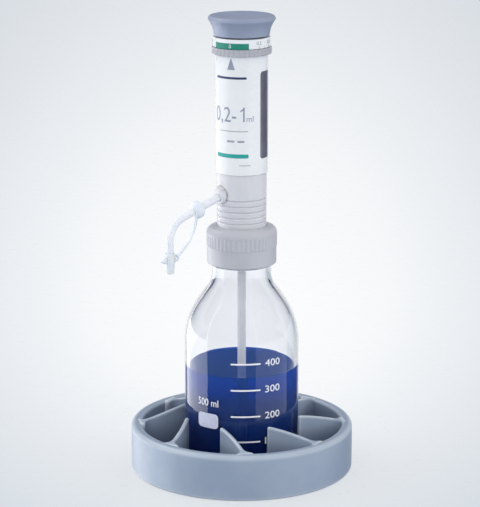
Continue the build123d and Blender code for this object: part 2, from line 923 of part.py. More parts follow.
def plunger_knob():
    """Flared grip with a dished top and a socket for the stem."""
    knob_top = knob_z + knob_height
    rim_z = knob_top - knob_rim_height
    dish_radius = knob_radius - knob_rim_width
    flare = ThreePointArc(
        (knob_foot_radius, knob_z),
        (knob_waist_radius, knob_z + knob_waist_height),
        (knob_radius, rim_z),
    )
    rim = ThreePointArc(
        (knob_radius, rim_z),
        (knob_radius - knob_rim_width / 4, knob_top - knob_rim_height / 4),
        (dish_radius, knob_top),
    )
    back = Polyline((dish_radius, knob_top), (0, knob_top), (0, knob_z), (knob_foot_radius, knob_z))
    grip = revolve(Plane.XZ * make_face([flare, rim, back]), Axis.Z)
    bowl = (dish_radius**2 + knob_dish_depth**2) / (2 * knob_dish_depth)
    dish = Pos(0, 0, knob_top - knob_dish_depth + bowl) * Sphere(bowl)
    hollow = tube(knob_foot_radius - knob_wall, stem_radius + knob_wall, knob_z, stem_top - knob_wall)
    return grip - dish - hollow - rod(stem_radius + seat_gap, knob_z, stem_top + seat_gap)


# Screw collar


def screw_collar():
    """Loose ring that screws onto the bottle and draws the valve block's flange down."""
    shoulder_z = block_z + flange_thickness + running_fit
    top = block_z + collar_top
    hole = block_foot_radius + free_gap
    rib_z = collar_z + collar_rib_foot
    rib_top = rib_z + collar_rib_height
    ring = turned(
        (collar_bore, collar_z),
        (collar_skirt_radius, collar_z, collar_foot_round),
        (collar_skirt_radius, rib_z),
        (collar_radius, rib_z),
        (collar_radius, top - collar_dome_drop, collar_shoulder_round),
        (hole, top),
        (hole, shoulder_z),
        (collar_bore, shoulder_z),
    )
    notch_reach = collar_radius + collar_notch_radius - collar_notch_depth
    notch = Pos(notch_reach, 0, 0) * rod(collar_notch_radius, rib_z, rib_top)
    return ring - around(collar_rib_count, notch)


pieces = {
    "bottle_stand": bottle_stand,
    "bottle": bottle,
    "reagent": reagent,
    "bottle_seal": bottle_seal,
    "valve_block": valve_block,
    "suction_valve_seat": suction_valve_seat,
    "suction_valve_ball": suction_valve_ball,
    "suction_tube": suction_tube,
    "discharge_valve_seat": discharge_valve_seat,
    "discharge_valve_ball": discharge_valve_ball,
    "discharge_valve_plug": discharge_valve_plug,
    "discharge_tube": discharge_tube,
    "tether_ring": tether_ring,
    "cap_tether": cap_tether,
    "spout_cap": spout_cap,
    "glass_cylinder": glass_cylinder,
    "cylinder_o_ring": cylinder_o_ring,
    "piston_seal": piston_seal,
    "cylinder_retainer": cylinder_retainer,
    "ceramic_piston": ceramic_piston,
    "piston_coupling": piston_coupling,
    "outer_sleeve": outer_sleeve,
    "sleeve_window": sleeve_window,
    "cam_bearing": cam_bearing,
    "lock_ring_spring": lock_ring_spring,
    "locking_ring": locking_ring,
    "volume_scale_ring": volume_scale_ring,
    "stop_cam": stop_cam,
    "cam_clip": cam_clip,
    "plunger_stem": plunger_stem,
    "stop_pin": stop_pin,
    "plunger_knob": plunger_knob,
    "screw_collar": screw_collar,
}

os.makedirs("parts", exist_ok=True)
for name, build in pieces.items():
    export_step(build(), f"parts/{name}.step")
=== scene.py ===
"""Bottle top dispenser on its reagent bottle and stand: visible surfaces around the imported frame.

Shape functions work in millimetres. An azimuth is an angle about +Z, counted from -Y, the side that
the scale is read from, towards +X, as in the part's own source.
"""

from math import cos, pi, radians, sin, tan

import bmesh
import bpy
import numpy as np
from bpy.props import FloatProperty, FloatVectorProperty, IntProperty, PointerProperty
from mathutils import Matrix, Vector


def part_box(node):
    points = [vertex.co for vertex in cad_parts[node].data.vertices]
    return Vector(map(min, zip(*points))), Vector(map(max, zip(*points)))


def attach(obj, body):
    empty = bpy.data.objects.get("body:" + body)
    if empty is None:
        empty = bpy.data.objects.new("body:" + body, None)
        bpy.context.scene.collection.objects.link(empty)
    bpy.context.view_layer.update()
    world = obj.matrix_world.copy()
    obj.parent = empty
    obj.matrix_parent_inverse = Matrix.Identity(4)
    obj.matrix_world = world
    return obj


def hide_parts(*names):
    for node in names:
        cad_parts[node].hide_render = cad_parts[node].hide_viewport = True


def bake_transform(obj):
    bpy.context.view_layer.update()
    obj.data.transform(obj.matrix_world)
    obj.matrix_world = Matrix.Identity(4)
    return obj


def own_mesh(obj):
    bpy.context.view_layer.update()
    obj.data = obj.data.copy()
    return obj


bl_info = {
    "name": "Bottle top dispenser",
    "version": (1, 0, 0),
    "blender": (4, 5, 0),
    "location": "View3D > Sidebar > Dispenser",
    "description": "Surfaces and finishes of a bottle top dispenser, its bottle and its stand",
    "category": "Object",
}

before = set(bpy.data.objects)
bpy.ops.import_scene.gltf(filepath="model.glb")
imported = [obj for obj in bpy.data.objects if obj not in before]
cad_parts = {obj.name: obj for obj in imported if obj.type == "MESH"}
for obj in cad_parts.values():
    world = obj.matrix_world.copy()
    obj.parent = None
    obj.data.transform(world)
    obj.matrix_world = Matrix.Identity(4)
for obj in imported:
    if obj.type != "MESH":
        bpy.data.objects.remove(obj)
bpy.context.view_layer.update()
MM = 0.001


def level(node, end):
    """Lowest (end 0) or highest (end 1) level of a CAD node, in millimetres."""
    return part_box(node)[end].z / MM


# Values that the part's source also holds
BODY, NECK, MOUTH, BORE = 43.0, 22.2, 20.6, 16.5  # radii of the bottle
FOOT, NECK_BEAD, MOUTH_TOP = 3.0, 158.0, 179.0  # levels of the bottle
BASE, BASE_INSIDE = 3.0, 7.0  # the stand's floor, and the inner floor of the bottle
NECK_WALL = 3.7
BLOCK_Z = 180.0
SPOUT_AZIMUTH = -33.0
SPOUT_DROP = radians(20.2)
SPOUT_LINE = BLOCK_Z + 38.5
BEAD_REACH = 39.0
TIP_REACH, TIP_WIDE, TIP_NARROW = 62.6, 174.5, 170.5
CREASE = radians(38)
SPOUT_OUT = np.array([sin(radians(SPOUT_AZIMUTH)), -cos(radians(SPOUT_AZIMUTH)), 0])
UP = np.array([0, 0, 1.0])


# Settings


def length(name, text, millimetres):
    return FloatProperty(name=name, description=text, default=millimetres * MM, min=0, unit="LENGTH", precision=5)


def angle(name, text, degrees):
    return FloatProperty(name=name, description=text, default=radians(degrees), subtype="ANGLE")


def linear(red, green, blue):
    """Scene value of a colour given as 0 to 255 in sRGB."""
    share = np.array([red, green, blue]) / 255
    return tuple(np.where(share <= 0.04045, share / 12.92, ((share + 0.055) / 1.055) ** 2.4))


def colour(name, text, *srgb):
    tone = linear(*srgb)
    return FloatVectorProperty(name=name, description=text, subtype="COLOR", size=3, min=0, max=1, default=tone)


class StandSettings(bpy.types.PropertyGroup):
    radius: length("Radius", "Outer radius of the stand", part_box("bottle_stand")[1].x / MM)
    wall: length("Rim wall", "Thickness of the rim", 8.0)
    height: length("Rim height", "Height of the rim above the floor", 34.5)
    rise: length("Vane rise", "How far a vane's inner end stands above the rim", 9.0)
    vane_thickness: length("Vane thickness", "Thickness of a vane", 3.0)
    fillet: length("Fillet", "Hollow rounding where vanes and rim meet the floor", 3.6)
    web: length("Web", "Hollow rounding where vanes meet the rim", 6.5)
    vanes: IntProperty(name="Vanes", description="Number of vanes round the bottle", default=8, min=3)
    grey: colour("Grey", "Moulded stand", 147, 162, 182)
    shade: colour("Shade", "Darker patches of the stand", 138, 154, 176)
    # Painted shade: the colour that the pockets darken towards, standing in for their shade
    hollow: colour("Hollow", "Floor of the pockets", 74, 91, 120)


class BottleSettings(bpy.types.PropertyGroup):
    radius: length("Radius", "Outer radius of the bottle", BODY)
    wall: length("Wall", "Thickness of the glass", 3.2)
    print_rise: length("Print", "Thickness of the fired print", 0.06)
    digit_height: length("Digits", "Height of the graduation's figures", 5.3)
    meniscus: length("Meniscus", "How far the reagent climbs up the glass", 1.1)
    density: FloatProperty(name="Density", description="How fast the reagent swallows light, per metre", default=50.0)
    glass: colour("Glass", "Tint of the clear glass", 252, 253, 255)
    reagent: colour("Reagent", "Light that the reagent lets through", 10, 186, 243)
    # Painted shade: the reagent's colour runs from body near the surface to depth near the foot
    body: colour("Reagent body", "Colour of the dye near the surface", 40, 106, 206)
    deep: colour("Reagent depth", "Colour of the dye near the foot", 8, 40, 118)
    enamel: colour("Enamel", "Fired white print", 250, 251, 255)
    field: colour("Write-on field", "Fired field under the print", 208, 214, 238)


class DispenserSettings(bpy.types.PropertyGroup):
    block_radius: length("Block", "Radius of the valve block under the sleeve", 18.65)
    sleeve_radius: length("Sleeve", "Outer radius of the sleeve", 19.4)
    dial_radius: length("Dial", "Outer radius of the volume scale ring", 21.24)
    knob_radius: length("Knob", "Radius of the knob's rim", 24.9)
    spout_radius: length("Spout", "Outer radius of the discharge tube", 2.8)
    print_rise: length("Print", "Thickness of the print on sleeve and dial", 0.05)
    white: colour("White", "Sleeve and dial", 233, 235, 239)
    slate: colour("Slate", "Strip in the sleeve's window", 103, 104, 117)
    ring: colour("Ring grey", "Locking ring", 175, 177, 185)
    knob: colour("Knob grey", "Plunger knob", 145, 156, 180)
    collar: colour("Collar grey", "Screw collar", 186, 188, 196)
    milky: colour("Milky", "Translucent valve block", 210, 211, 217)
    green: colour("Green", "Scale print", 22, 142, 122)
    teal: colour("Teal", "Accent line on the sleeve", 30, 165, 160)
    navy: colour("Navy", "Upper line on the sleeve", 52, 66, 112)
    print_grey: colour("Print grey", "Range figures and pointer", 146, 155, 173)


class StageSettings(bpy.types.PropertyGroup):
    camera_azimuth: angle("Azimuth", "Camera's azimuth", 24)
    camera_pitch: angle("Pitch", "How far the camera looks down", 14.136)
    camera_distance: length("Distance", "Camera's distance from the axis, along the floor", 1595.579)
    camera_height: length("Height", "Camera's height above the floor", 567.34)
    camera_aside: length("Aside", "Camera's shift to its left", 1.3)
    focal: FloatProperty(name="Focal length", description="Camera's focal length in millimetres", default=156.24)
    panel_light: FloatProperty(name="Panels", description="Brightness of the side panels", default=0.64)
    world_light: FloatProperty(name="World", description="Brightness of the room", default=1.3)


# Sections and grids


def section(*corners, closed=True, steps=6):
    """Half section through rounded corners, as points (radius, height).

    A corner is (radius, height), (radius, height, rounding) or (radius, height, rounding, steps).
    A rounding is the arc tangent to both sides: with half the corner's angle h, it starts
    rounding / tan h before the corner and is centred rounding / sin h from it. A support point
    beyond each end keeps the straight sides flat.
    """
    points = np.array([corner[:2] for corner in corners], float)
    rounding = np.array([corner[2] if len(corner) > 2 else 0.0 for corner in corners])
    if not closed:
        rounding[[0, -1]] = 0
    back, on = np.roll(points, 1, 0) - points, np.roll(points, -1, 0) - points
    length = np.linalg.norm(on, axis=1)
    on, back = on / length[:, None], back / np.roll(length, 1)[:, None]
    half = np.arccos(np.clip((back * on).sum(1), -1, 1)) / 2
    reach = rounding / np.tan(half)
    spare = length - reach - np.roll(reach, -1)
    rows = []
    for i, corner in enumerate(corners):
        if rounding[i] == 0:
            rows.append(points[i][None])
            continue
        middle = (back[i] + on[i]) / np.linalg.norm(back[i] + on[i])
        centre = points[i] + middle * rounding[i] / np.sin(half[i])
        start, end = points[i] + back[i] * reach[i] - centre, points[i] + on[i] * reach[i] - centre
        turn = pi - 2 * half[i]
        share = np.linspace(0, 1, (corner[3] if len(corner) > 3 else steps) + 1)[:, None]
        arc = centre + (np.sin((1 - share) * turn) * start + np.sin(share * turn) * end) / np.sin(turn)
        before, after = (min(0.4 * rounding[i], 0.3 * max(gap, 0.02)) for gap in (spare[i - 1], spare[i]))
        rows += [(arc[0] + back[i] * before)[None], arc, (arc[-1] + on[i] * after)[None]]
    return np.vstack(rows)


def denser(line, step, closed=True):
    """The same line with points added so that no stretch is longer than step."""
    ends = np.vstack([line, line[:1]]) if closed else line
    runs = []
    for here, there in zip(ends[:-1], ends[1:]):
        count = max(int(np.ceil(np.linalg.norm(there - here) / step)), 1)
        runs.append(here + (there - here) * np.linspace(0, 1, count, endpoint=False)[:, None])
    return np.vstack(runs if closed else [*runs, ends[-1:]])


def denser_where(line, chosen, step):
    """The same open line with points added between the first and the last chosen point."""
    first, last = np.flatnonzero(chosen)[[0, -1]]
    return np.vstack([line[:first], denser(line[first : last + 1], step, closed=False), line[last + 1 :]])


def dome(across, reach, tall):
    """Height of a sphere's cap over its edge: z = d - D + sqrt(D^2 - r^2), with D = (R^2 + d^2) / 2d."""
    ball = (reach**2 + tall**2) / (2 * tall)
    return tall - ball + np.sqrt(ball**2 - across**2)


def scallops(count, azimuth, sharpness):
    """Even grooves round the axis, 0 to 1 deep: (1/2 + 1/2 cos n a)^p."""
    return (0.5 + 0.5 * np.cos(count * azimuth)) ** sharpness


def smooth(value, low, high):
    """0 below low, 1 above high, and the cubic 3t^2 - 2t^3 between them."""
    share = np.clip((value - low) / (high - low), 0, 1)
    return share * share * (3 - 2 * share)


def turns(columns):
    """Evenly spaced azimuths of a full turn, in radians."""
    return np.linspace(0, 2 * pi, columns, endpoint=False)


def polar(radius, azimuth, height):
    """Points x = r sin a, y = -r cos a, z = h over grids of radius, azimuth and height."""
    radius, azimuth, height = np.broadcast_arrays(radius, azimuth, height)
    return np.stack([radius * np.sin(azimuth), -radius * np.cos(azimuth), height], -1)


def lathe(half, columns=144):
    """A half section carried round the axis: every point (r, h) at every azimuth."""
    return polar(half[:, 0, None], turns(columns)[None], half[:, 1, None])


def shell(points, ring=False):
    """Closed surface over a grid of points, as vertices and faces.

    Columns meet at the seam. Rows meet too on a ring. Elsewhere the first and the last row are
    closed by a fan round their middle. If the volume, a sixth of the sum of a . (b x c) over all
    triangles, is negative, every face is turned over.
    """
    rows, columns = points.shape[:2]
    places = points.reshape(-1, 3)
    index = np.arange(rows * columns).reshape(rows, columns)
    lower = index if ring else index[:-1]
    upper = np.roll(index, -1, 0) if ring else index[1:]
    quads = np.stack([lower, np.roll(lower, -1, 1), np.roll(upper, -1, 1), upper], -1).reshape(-1, 4)
    fans = np.empty((0, 3), int)
    if not ring:
        places = np.vstack([places, points[0].mean(0), points[-1].mean(0)])
        first, last = index[0], index[-1]
        low_middle, high_middle = np.full(columns, rows * columns), np.full(columns, rows * columns + 1)
        fans = np.vstack(
            [
                np.stack([np.roll(first, -1), first, low_middle], -1),
                np.stack([last, np.roll(last, -1), high_middle], -1),
            ]
        )
    triangles = np.vstack([quads[:, :3], quads[:, [0, 2, 3]], fans])
    a, b, c = (places[triangles[:, k]] for k in range(3))
    if np.einsum("ij,ij->", a - places[0], np.cross(b - places[0], c - places[0])) < 0:
        quads, fans = quads[:, ::-1], fans[:, ::-1]
    return places, quads.tolist() + fans.tolist()


def pad(outline, radius, azimuth, height, rise, sink=0.08, rings=6):
    """A flat outline (arc length, height) laid on a cylinder and closed into a thin pad.

    Rings of the outline shrink to its middle, s = 1 to 0, on the outer face at radius + rise and on
    the inner face at radius - sink; arc length over radius is the azimuth from the pad's middle.
    """
    shrink = np.linspace(0.02, 1, rings)
    share = np.concatenate([shrink, [1], shrink[::-1]])
    reach = np.concatenate([np.full(rings, radius - sink), [radius + 0.6 * rise], np.full(rings, radius + rise)])
    share[rings + 1] = 1 - 0.3 * rise / np.abs(outline).max()
    across = share[:, None] * outline[None, :, 0]
    up = share[:, None] * outline[None, :, 1]
    return shell(polar(reach[:, None], radians(azimuth) + across / radius, height + up))


def rectangle(width, tall, rounding):
    """Dense outline of a rounded rectangle about its middle."""
    x, y = width / 2, tall / 2
    corners = [(-x, -y, rounding), (x, -y, rounding), (x, y, rounding), (-x, y, rounding)]
    return denser(section(*corners, steps=5), 1.0)


def spout_height(reach):
    """Level of the spout's sloping line at a reach from the axis."""
    return SPOUT_LINE - tan(SPOUT_DROP) * reach


def spout_place(reach):
    """Origin, side, upper side and direction of the spout's sloping line at a reach from the axis."""
    along = SPOUT_OUT * cos(SPOUT_DROP) - UP * sin(SPOUT_DROP)
    over = SPOUT_OUT * sin(SPOUT_DROP) + UP * cos(SPOUT_DROP)
    origin = SPOUT_OUT * reach + UP * spout_height(reach)
    return origin, np.cross(over, along), over, along


def on_spout(points, reach):
    """Points drawn about +Z, moved onto the spout's line with +Z running down the spout."""
    origin, side, over, along = spout_place(reach)
    return origin + points[..., :1] * side + points[..., 1:2] * over + points[..., 2:] * along


def swept(flat, tangent, radii, first, second):
    """A section carried along a line (reach, height) drawn in the spout's upright plane.

    At each point it is r (a n + b m), with the section's two coordinates a and b, the line's normal n
    in that plane, and the plane's own normal m.
    """
    tangent = tangent / np.linalg.norm(tangent, axis=1, keepdims=True)
    line = flat[:, :1] * SPOUT_OUT + flat[:, 1:] * UP
    normal = -tangent[:, 1:] * SPOUT_OUT + tangent[:, :1] * UP
    across = np.cross(SPOUT_OUT, UP)
    return line[:, None] + radii[:, None, None] * (
        first[None, :, None] * normal[:, None] + second[None, :, None] * across[None, None]
    )


# Objects


def piece(name, body, material, shells, replaces=()):
    """One object from closed shells, in its place, smooth up to the crease angle."""
    places, faces, count = [], [], 0
    for vertices, loops in shells:
        places.append(vertices)
        faces += [[count + k for k in loop] for loop in loops]
        count += len(vertices)
    mesh = bpy.data.meshes.new(name)
    mesh.from_pydata((np.vstack(places) * MM).tolist(), [], faces)
    mesh.shade_smooth()
    mesh.set_sharp_from_angle(angle=CREASE)
    mesh.materials.append(material)
    made = bpy.data.objects.new(name, mesh)
    bpy.context.scene.collection.objects.link(made)
    if body:
        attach(made, body)
    if replaces:
        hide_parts(*replaces)
    return made


def lettering(words, wide, tall, radius, azimuth, height, rise):
    """Raised figures bent round the axis, as one shell.

    The words are stretched to their width and height, and cut every millimetre, so that they can
    bend. x over radius becomes the azimuth, y the height, and the letters' own thickness stands out
    from the radius.
    """
    curve = bpy.data.curves.new("letters", "FONT")
    curve.body, curve.extrude, curve.resolution_u = words, 0.5, 4
    flat = bpy.data.objects.new("letters", curve)
    bpy.context.scene.collection.objects.link(flat)
    bpy.context.view_layer.update()
    made = bpy.data.meshes.new_from_object(flat.evaluated_get(bpy.context.evaluated_depsgraph_get()))
    shape = bmesh.new()
    shape.from_mesh(made)
    bpy.data.objects.remove(flat)
    bpy.data.curves.remove(curve)
    bpy.data.meshes.remove(made)
    bmesh.ops.remove_doubles(shape, verts=shape.verts, dist=1e-4)
    corners = np.array([v.co for v in shape.verts])
    low, high = corners.min(0), corners.max(0)
    scale = wide / (high[0] - low[0])
    for cut in np.arange(low[0], high[0], 1.0 / scale):
        parts = [*shape.verts, *shape.edges, *shape.faces]
        bmesh.ops.bisect_plane(shape, geom=parts, dist=1e-5, plane_co=(cut, 0, 0), plane_no=(1, 0, 0))
    shape.verts.index_update()
    corners = np.array([v.co for v in shape.verts])
    faces = [[v.index for v in face.verts] for face in shape.faces]
    shape.free()
    x = (corners[:, 0] - (low[0] + high[0]) / 2) * scale
    y = (corners[:, 1] - (low[1] + high[1]) / 2) * tall / (high[1] - low[1])
    reach = radius + np.where(corners[:, 2] > 0, rise, -0.06)
    return polar(reach, radians(azimuth) + x / radius, height + y), faces


# Materials


def add(tree, kind, inputs=(), **settings):
    """A node with its settings; an input is a constant or another node's output."""
    node = tree.nodes.new(kind)
    for key, value in settings.items():
        setattr(node, key, value)
    for key, value in dict(inputs).items():
        if isinstance(value, bpy.types.NodeSocket):
            tree.links.new(value, node.inputs[key])
        else:
            node.inputs[key].default_value = value
    return node


def new_group(name, inputs, outputs):
    """An empty node group with named sockets; returns the group, its input node and its output node."""
    group = bpy.data.node_groups.new(name, "ShaderNodeTree")
    for label, kind in inputs:
        group.interface.new_socket(name=label, in_out="INPUT", socket_type="NodeSocket" + kind)
    for label, kind in outputs:
        group.interface.new_socket(name=label, in_out="OUTPUT", socket_type="NodeSocket" + kind)
    return group, add(group, "NodeGroupInput").outputs, add(group, "NodeGroupOutput").inputs


def object_place(tree):
    """Place of a shaded point in its object's own frame."""
    return add(tree, "ShaderNodeTexCoord").outputs["Object"]


def noise(tree, place, scale, detail, **more):
    """Value of a noise texture."""
    inputs = {"Vector": place, "Scale": scale, "Detail": detail, **more}
    return add(tree, "ShaderNodeTexNoise", inputs).outputs["Fac"]


def worked(tree, operation, first, second):
    """Result of one step of arithmetic."""
    return add(tree, "ShaderNodeMath", {0: first, 1: second}, operation=operation).outputs[0]


def mixed(tree, share, first, second):
    """Mix of two colours by a share."""
    return add(tree, "ShaderNodeMix", {0: share, 6: first, 7: second}, data_type="RGBA").outputs[2]


def spread(tree, value, low, high, to_low=0.0, to_high=1.0):
    """A value between low and high, moved to between to_low and to_high."""
    inputs = {"Value": value, "From Min": low, "From Max": high, "To Min": to_low, "To Max": to_high}
    return add(tree, "ShaderNodeMapRange", inputs).outputs["Result"]


def moulded_surface():
    """Moulded plastic: soft patches of a second colour, lighter edges that are partly wear and partly painted
    highlight, grain and uneven gloss.
    """
    if "moulded_surface" in bpy.data.node_groups:
        return bpy.data.node_groups["moulded_surface"]
    labels = [("Colour", "Color"), ("Shade", "Color"), ("Edge", "Color")]
    labels += [(label, "Float") for label in ("Patch Scale", "Grain Scale", "Edge Wear", "Roughness", "Gloss Spread")]
    outputs = [("Colour", "Color"), ("Roughness", "Float"), ("Height", "Float")]
    group, given, result = new_group("moulded_surface", labels, outputs)
    place = object_place(group)
    share = spread(group, noise(group, place, given["Patch Scale"], 3.0), 0.35, 0.65)
    patched = mixed(group, share, given["Colour"], given["Shade"])
    # Lighter edges: partly wear, and a painted highlight where the edge colour and its amount are set strong
    sharp = spread(group, add(group, "ShaderNodeNewGeometry").outputs["Pointiness"], 0.503, 0.535)
    worn_and_lit = worked(group, "MULTIPLY", sharp, given["Edge Wear"])
    group.links.new(mixed(group, worn_and_lit, patched, given["Edge"]), result["Colour"])
    handled = noise(group, place, 210.0, 4.0, Roughness=0.65)
    uneven = spread(group, handled, 0.3, 0.7, -0.5, 0.5)
    offset = worked(group, "MULTIPLY", uneven, given["Gloss Spread"])
    group.links.new(worked(group, "ADD", given["Roughness"], offset), result["Roughness"])
    group.links.new(noise(group, place, given["Grain Scale"], 2.0), result["Height"])
    return group


def drawn_glass():
    """Blown glass: slow waves along the wall and faint wiped streaks in its gloss."""
    if "drawn_glass" in bpy.data.node_groups:
        return bpy.data.node_groups["drawn_glass"]
    labels = [("Wave Scale", "Float"), ("Streaks", "Float")]
    group, given, result = new_group("drawn_glass", labels, [("Roughness", "Float"), ("Height", "Float")])
    long = add(group, "ShaderNodeMapping", {"Vector": object_place(group), "Scale": (1.0, 1.0, 0.35)}).outputs[0]
    group.links.new(noise(group, long, given["Wave Scale"], 1.0), result["Height"])
    share = spread(group, noise(group, long, 160.0, 5.0, Distortion=0.8), 0.5, 0.72)
    group.links.new(worked(group, "MULTIPLY", share, given["Streaks"]), result["Roughness"])
    return group


def material(name):
    """A new material, its node tree and its Principled shader."""
    made = bpy.data.materials.new(name)
    made.use_nodes = True
    return made, made.node_tree, made.node_tree.nodes["Principled BSDF"]


def bumped(tree, shader, height, strength, distance):
    """Lights the shader by a height, through a bump."""
    bump = add(tree, "ShaderNodeBump", {"Height": height, "Strength": strength, "Distance": distance})
    tree.links.new(bump.outputs["Normal"], shader.inputs["Normal"])


def moulded(
    name, base, shade, roughness, patch=60.0, grain=2600.0, bump=0.05, wear=0.25, uneven=0.12, edge=None, **sockets
):
    """A plastic, rubber, ceramic or painted finish from the moulded surface group."""
    made, tree, shader = material(name)
    # Edge colour: lighter than the base, for worn edges and for painted edge highlights
    edge = edge or [min(1, 1.12 * c + 0.05) for c in base]
    inputs = {"Colour": (*base, 1), "Shade": (*shade, 1), "Edge": (*edge, 1)}
    inputs |= {"Patch Scale": patch, "Grain Scale": grain, "Edge Wear": wear}
    inputs |= {"Roughness": roughness, "Gloss Spread": uneven}
    node = add(tree, "ShaderNodeGroup", node_tree=moulded_surface())
    for key, value in inputs.items():
        node.inputs[key].default_value = value
    bumped(tree, shader, node.outputs["Height"], bump, 0.0002)
    tree.links.new(node.outputs["Colour"], shader.inputs["Base Color"])
    tree.links.new(node.outputs["Roughness"], shader.inputs["Roughness"])
    for key, value in sockets.items():
        shader.inputs[key.replace("_", " ")].default_value = value
    return made


def dimmed(base, share):
    return tuple(share * c for c in base)


def printed(name, base, share=0.9, roughness=0.5):
    """A printed or fired finish."""
    return moulded(name, base, dimmed(base, share), roughness, patch=300.0, wear=0.0)


def glassy(name, tint, index, wave=22.0):
    """Clear glass with waves in its wall."""
    made, tree, shader = material(name)
    node = add(tree, "ShaderNodeGroup", {}, node_tree=drawn_glass())
    node.inputs["Wave Scale"].default_value = wave
    node.inputs["Streaks"].default_value = 0.05
    bumped(tree, shader, node.outputs["Height"], 0.03, 0.002)
    tree.links.new(node.outputs["Roughness"], shader.inputs["Roughness"])
    shader.inputs["Base Color"].default_value = (*tint, 1)
    shader.inputs["IOR"].default_value = index
    shader.inputs["Transmission Weight"].default_value = 1.0
    return made


def liquid(name, body, deep, tint, density):
    """Strongly dyed liquid: its body colour darkens from the surface down as painted shade, and what passes through is
    swallowed.
    """
    made, tree, shader = material(name)
    place = object_place(tree)
    bumped(tree, shader, noise(tree, place, 30.0, 0.0), 0.02, 0.001)
    # Painted shade: the base colour darkens from body near the surface to deep near the foot, along a wavy line
    drift = spread(tree, noise(tree, place, 14.0, 1.0), 0.3, 0.7, -0.006, 0.006)
    tall = worked(tree, "ADD", add(tree, "ShaderNodeSeparateXYZ", {0: place}).outputs["Z"], drift)
    dye_and_shade = mixed(tree, spread(tree, tall, 0.098, 0.03), (*body, 1), (*deep, 1))
    tree.links.new(dye_and_shade, shader.inputs["Base Color"])
    shader.inputs["Roughness"].default_value = 0.0
    shader.inputs["IOR"].default_value = 1.333
    shader.inputs["Transmission Weight"].default_value = 0.6
    depth = add(tree, "ShaderNodeVolumeAbsorption", {"Color": (*tint, 1), "Density": density})
    tree.links.new(depth.outputs[0], tree.nodes["Material Output"].inputs["Volume"])
    return made


def steel():
    """Drawn spring steel: fine bright and dull bands in its gloss."""
    bright, dull = (0.55, 0.55, 0.56), (0.42, 0.42, 0.44)
    return moulded("drawn_steel", bright, dull, 0.28, patch=400.0, grain=5000.0, bump=0.04, wear=0.0, Metallic=1.0)


# Operators


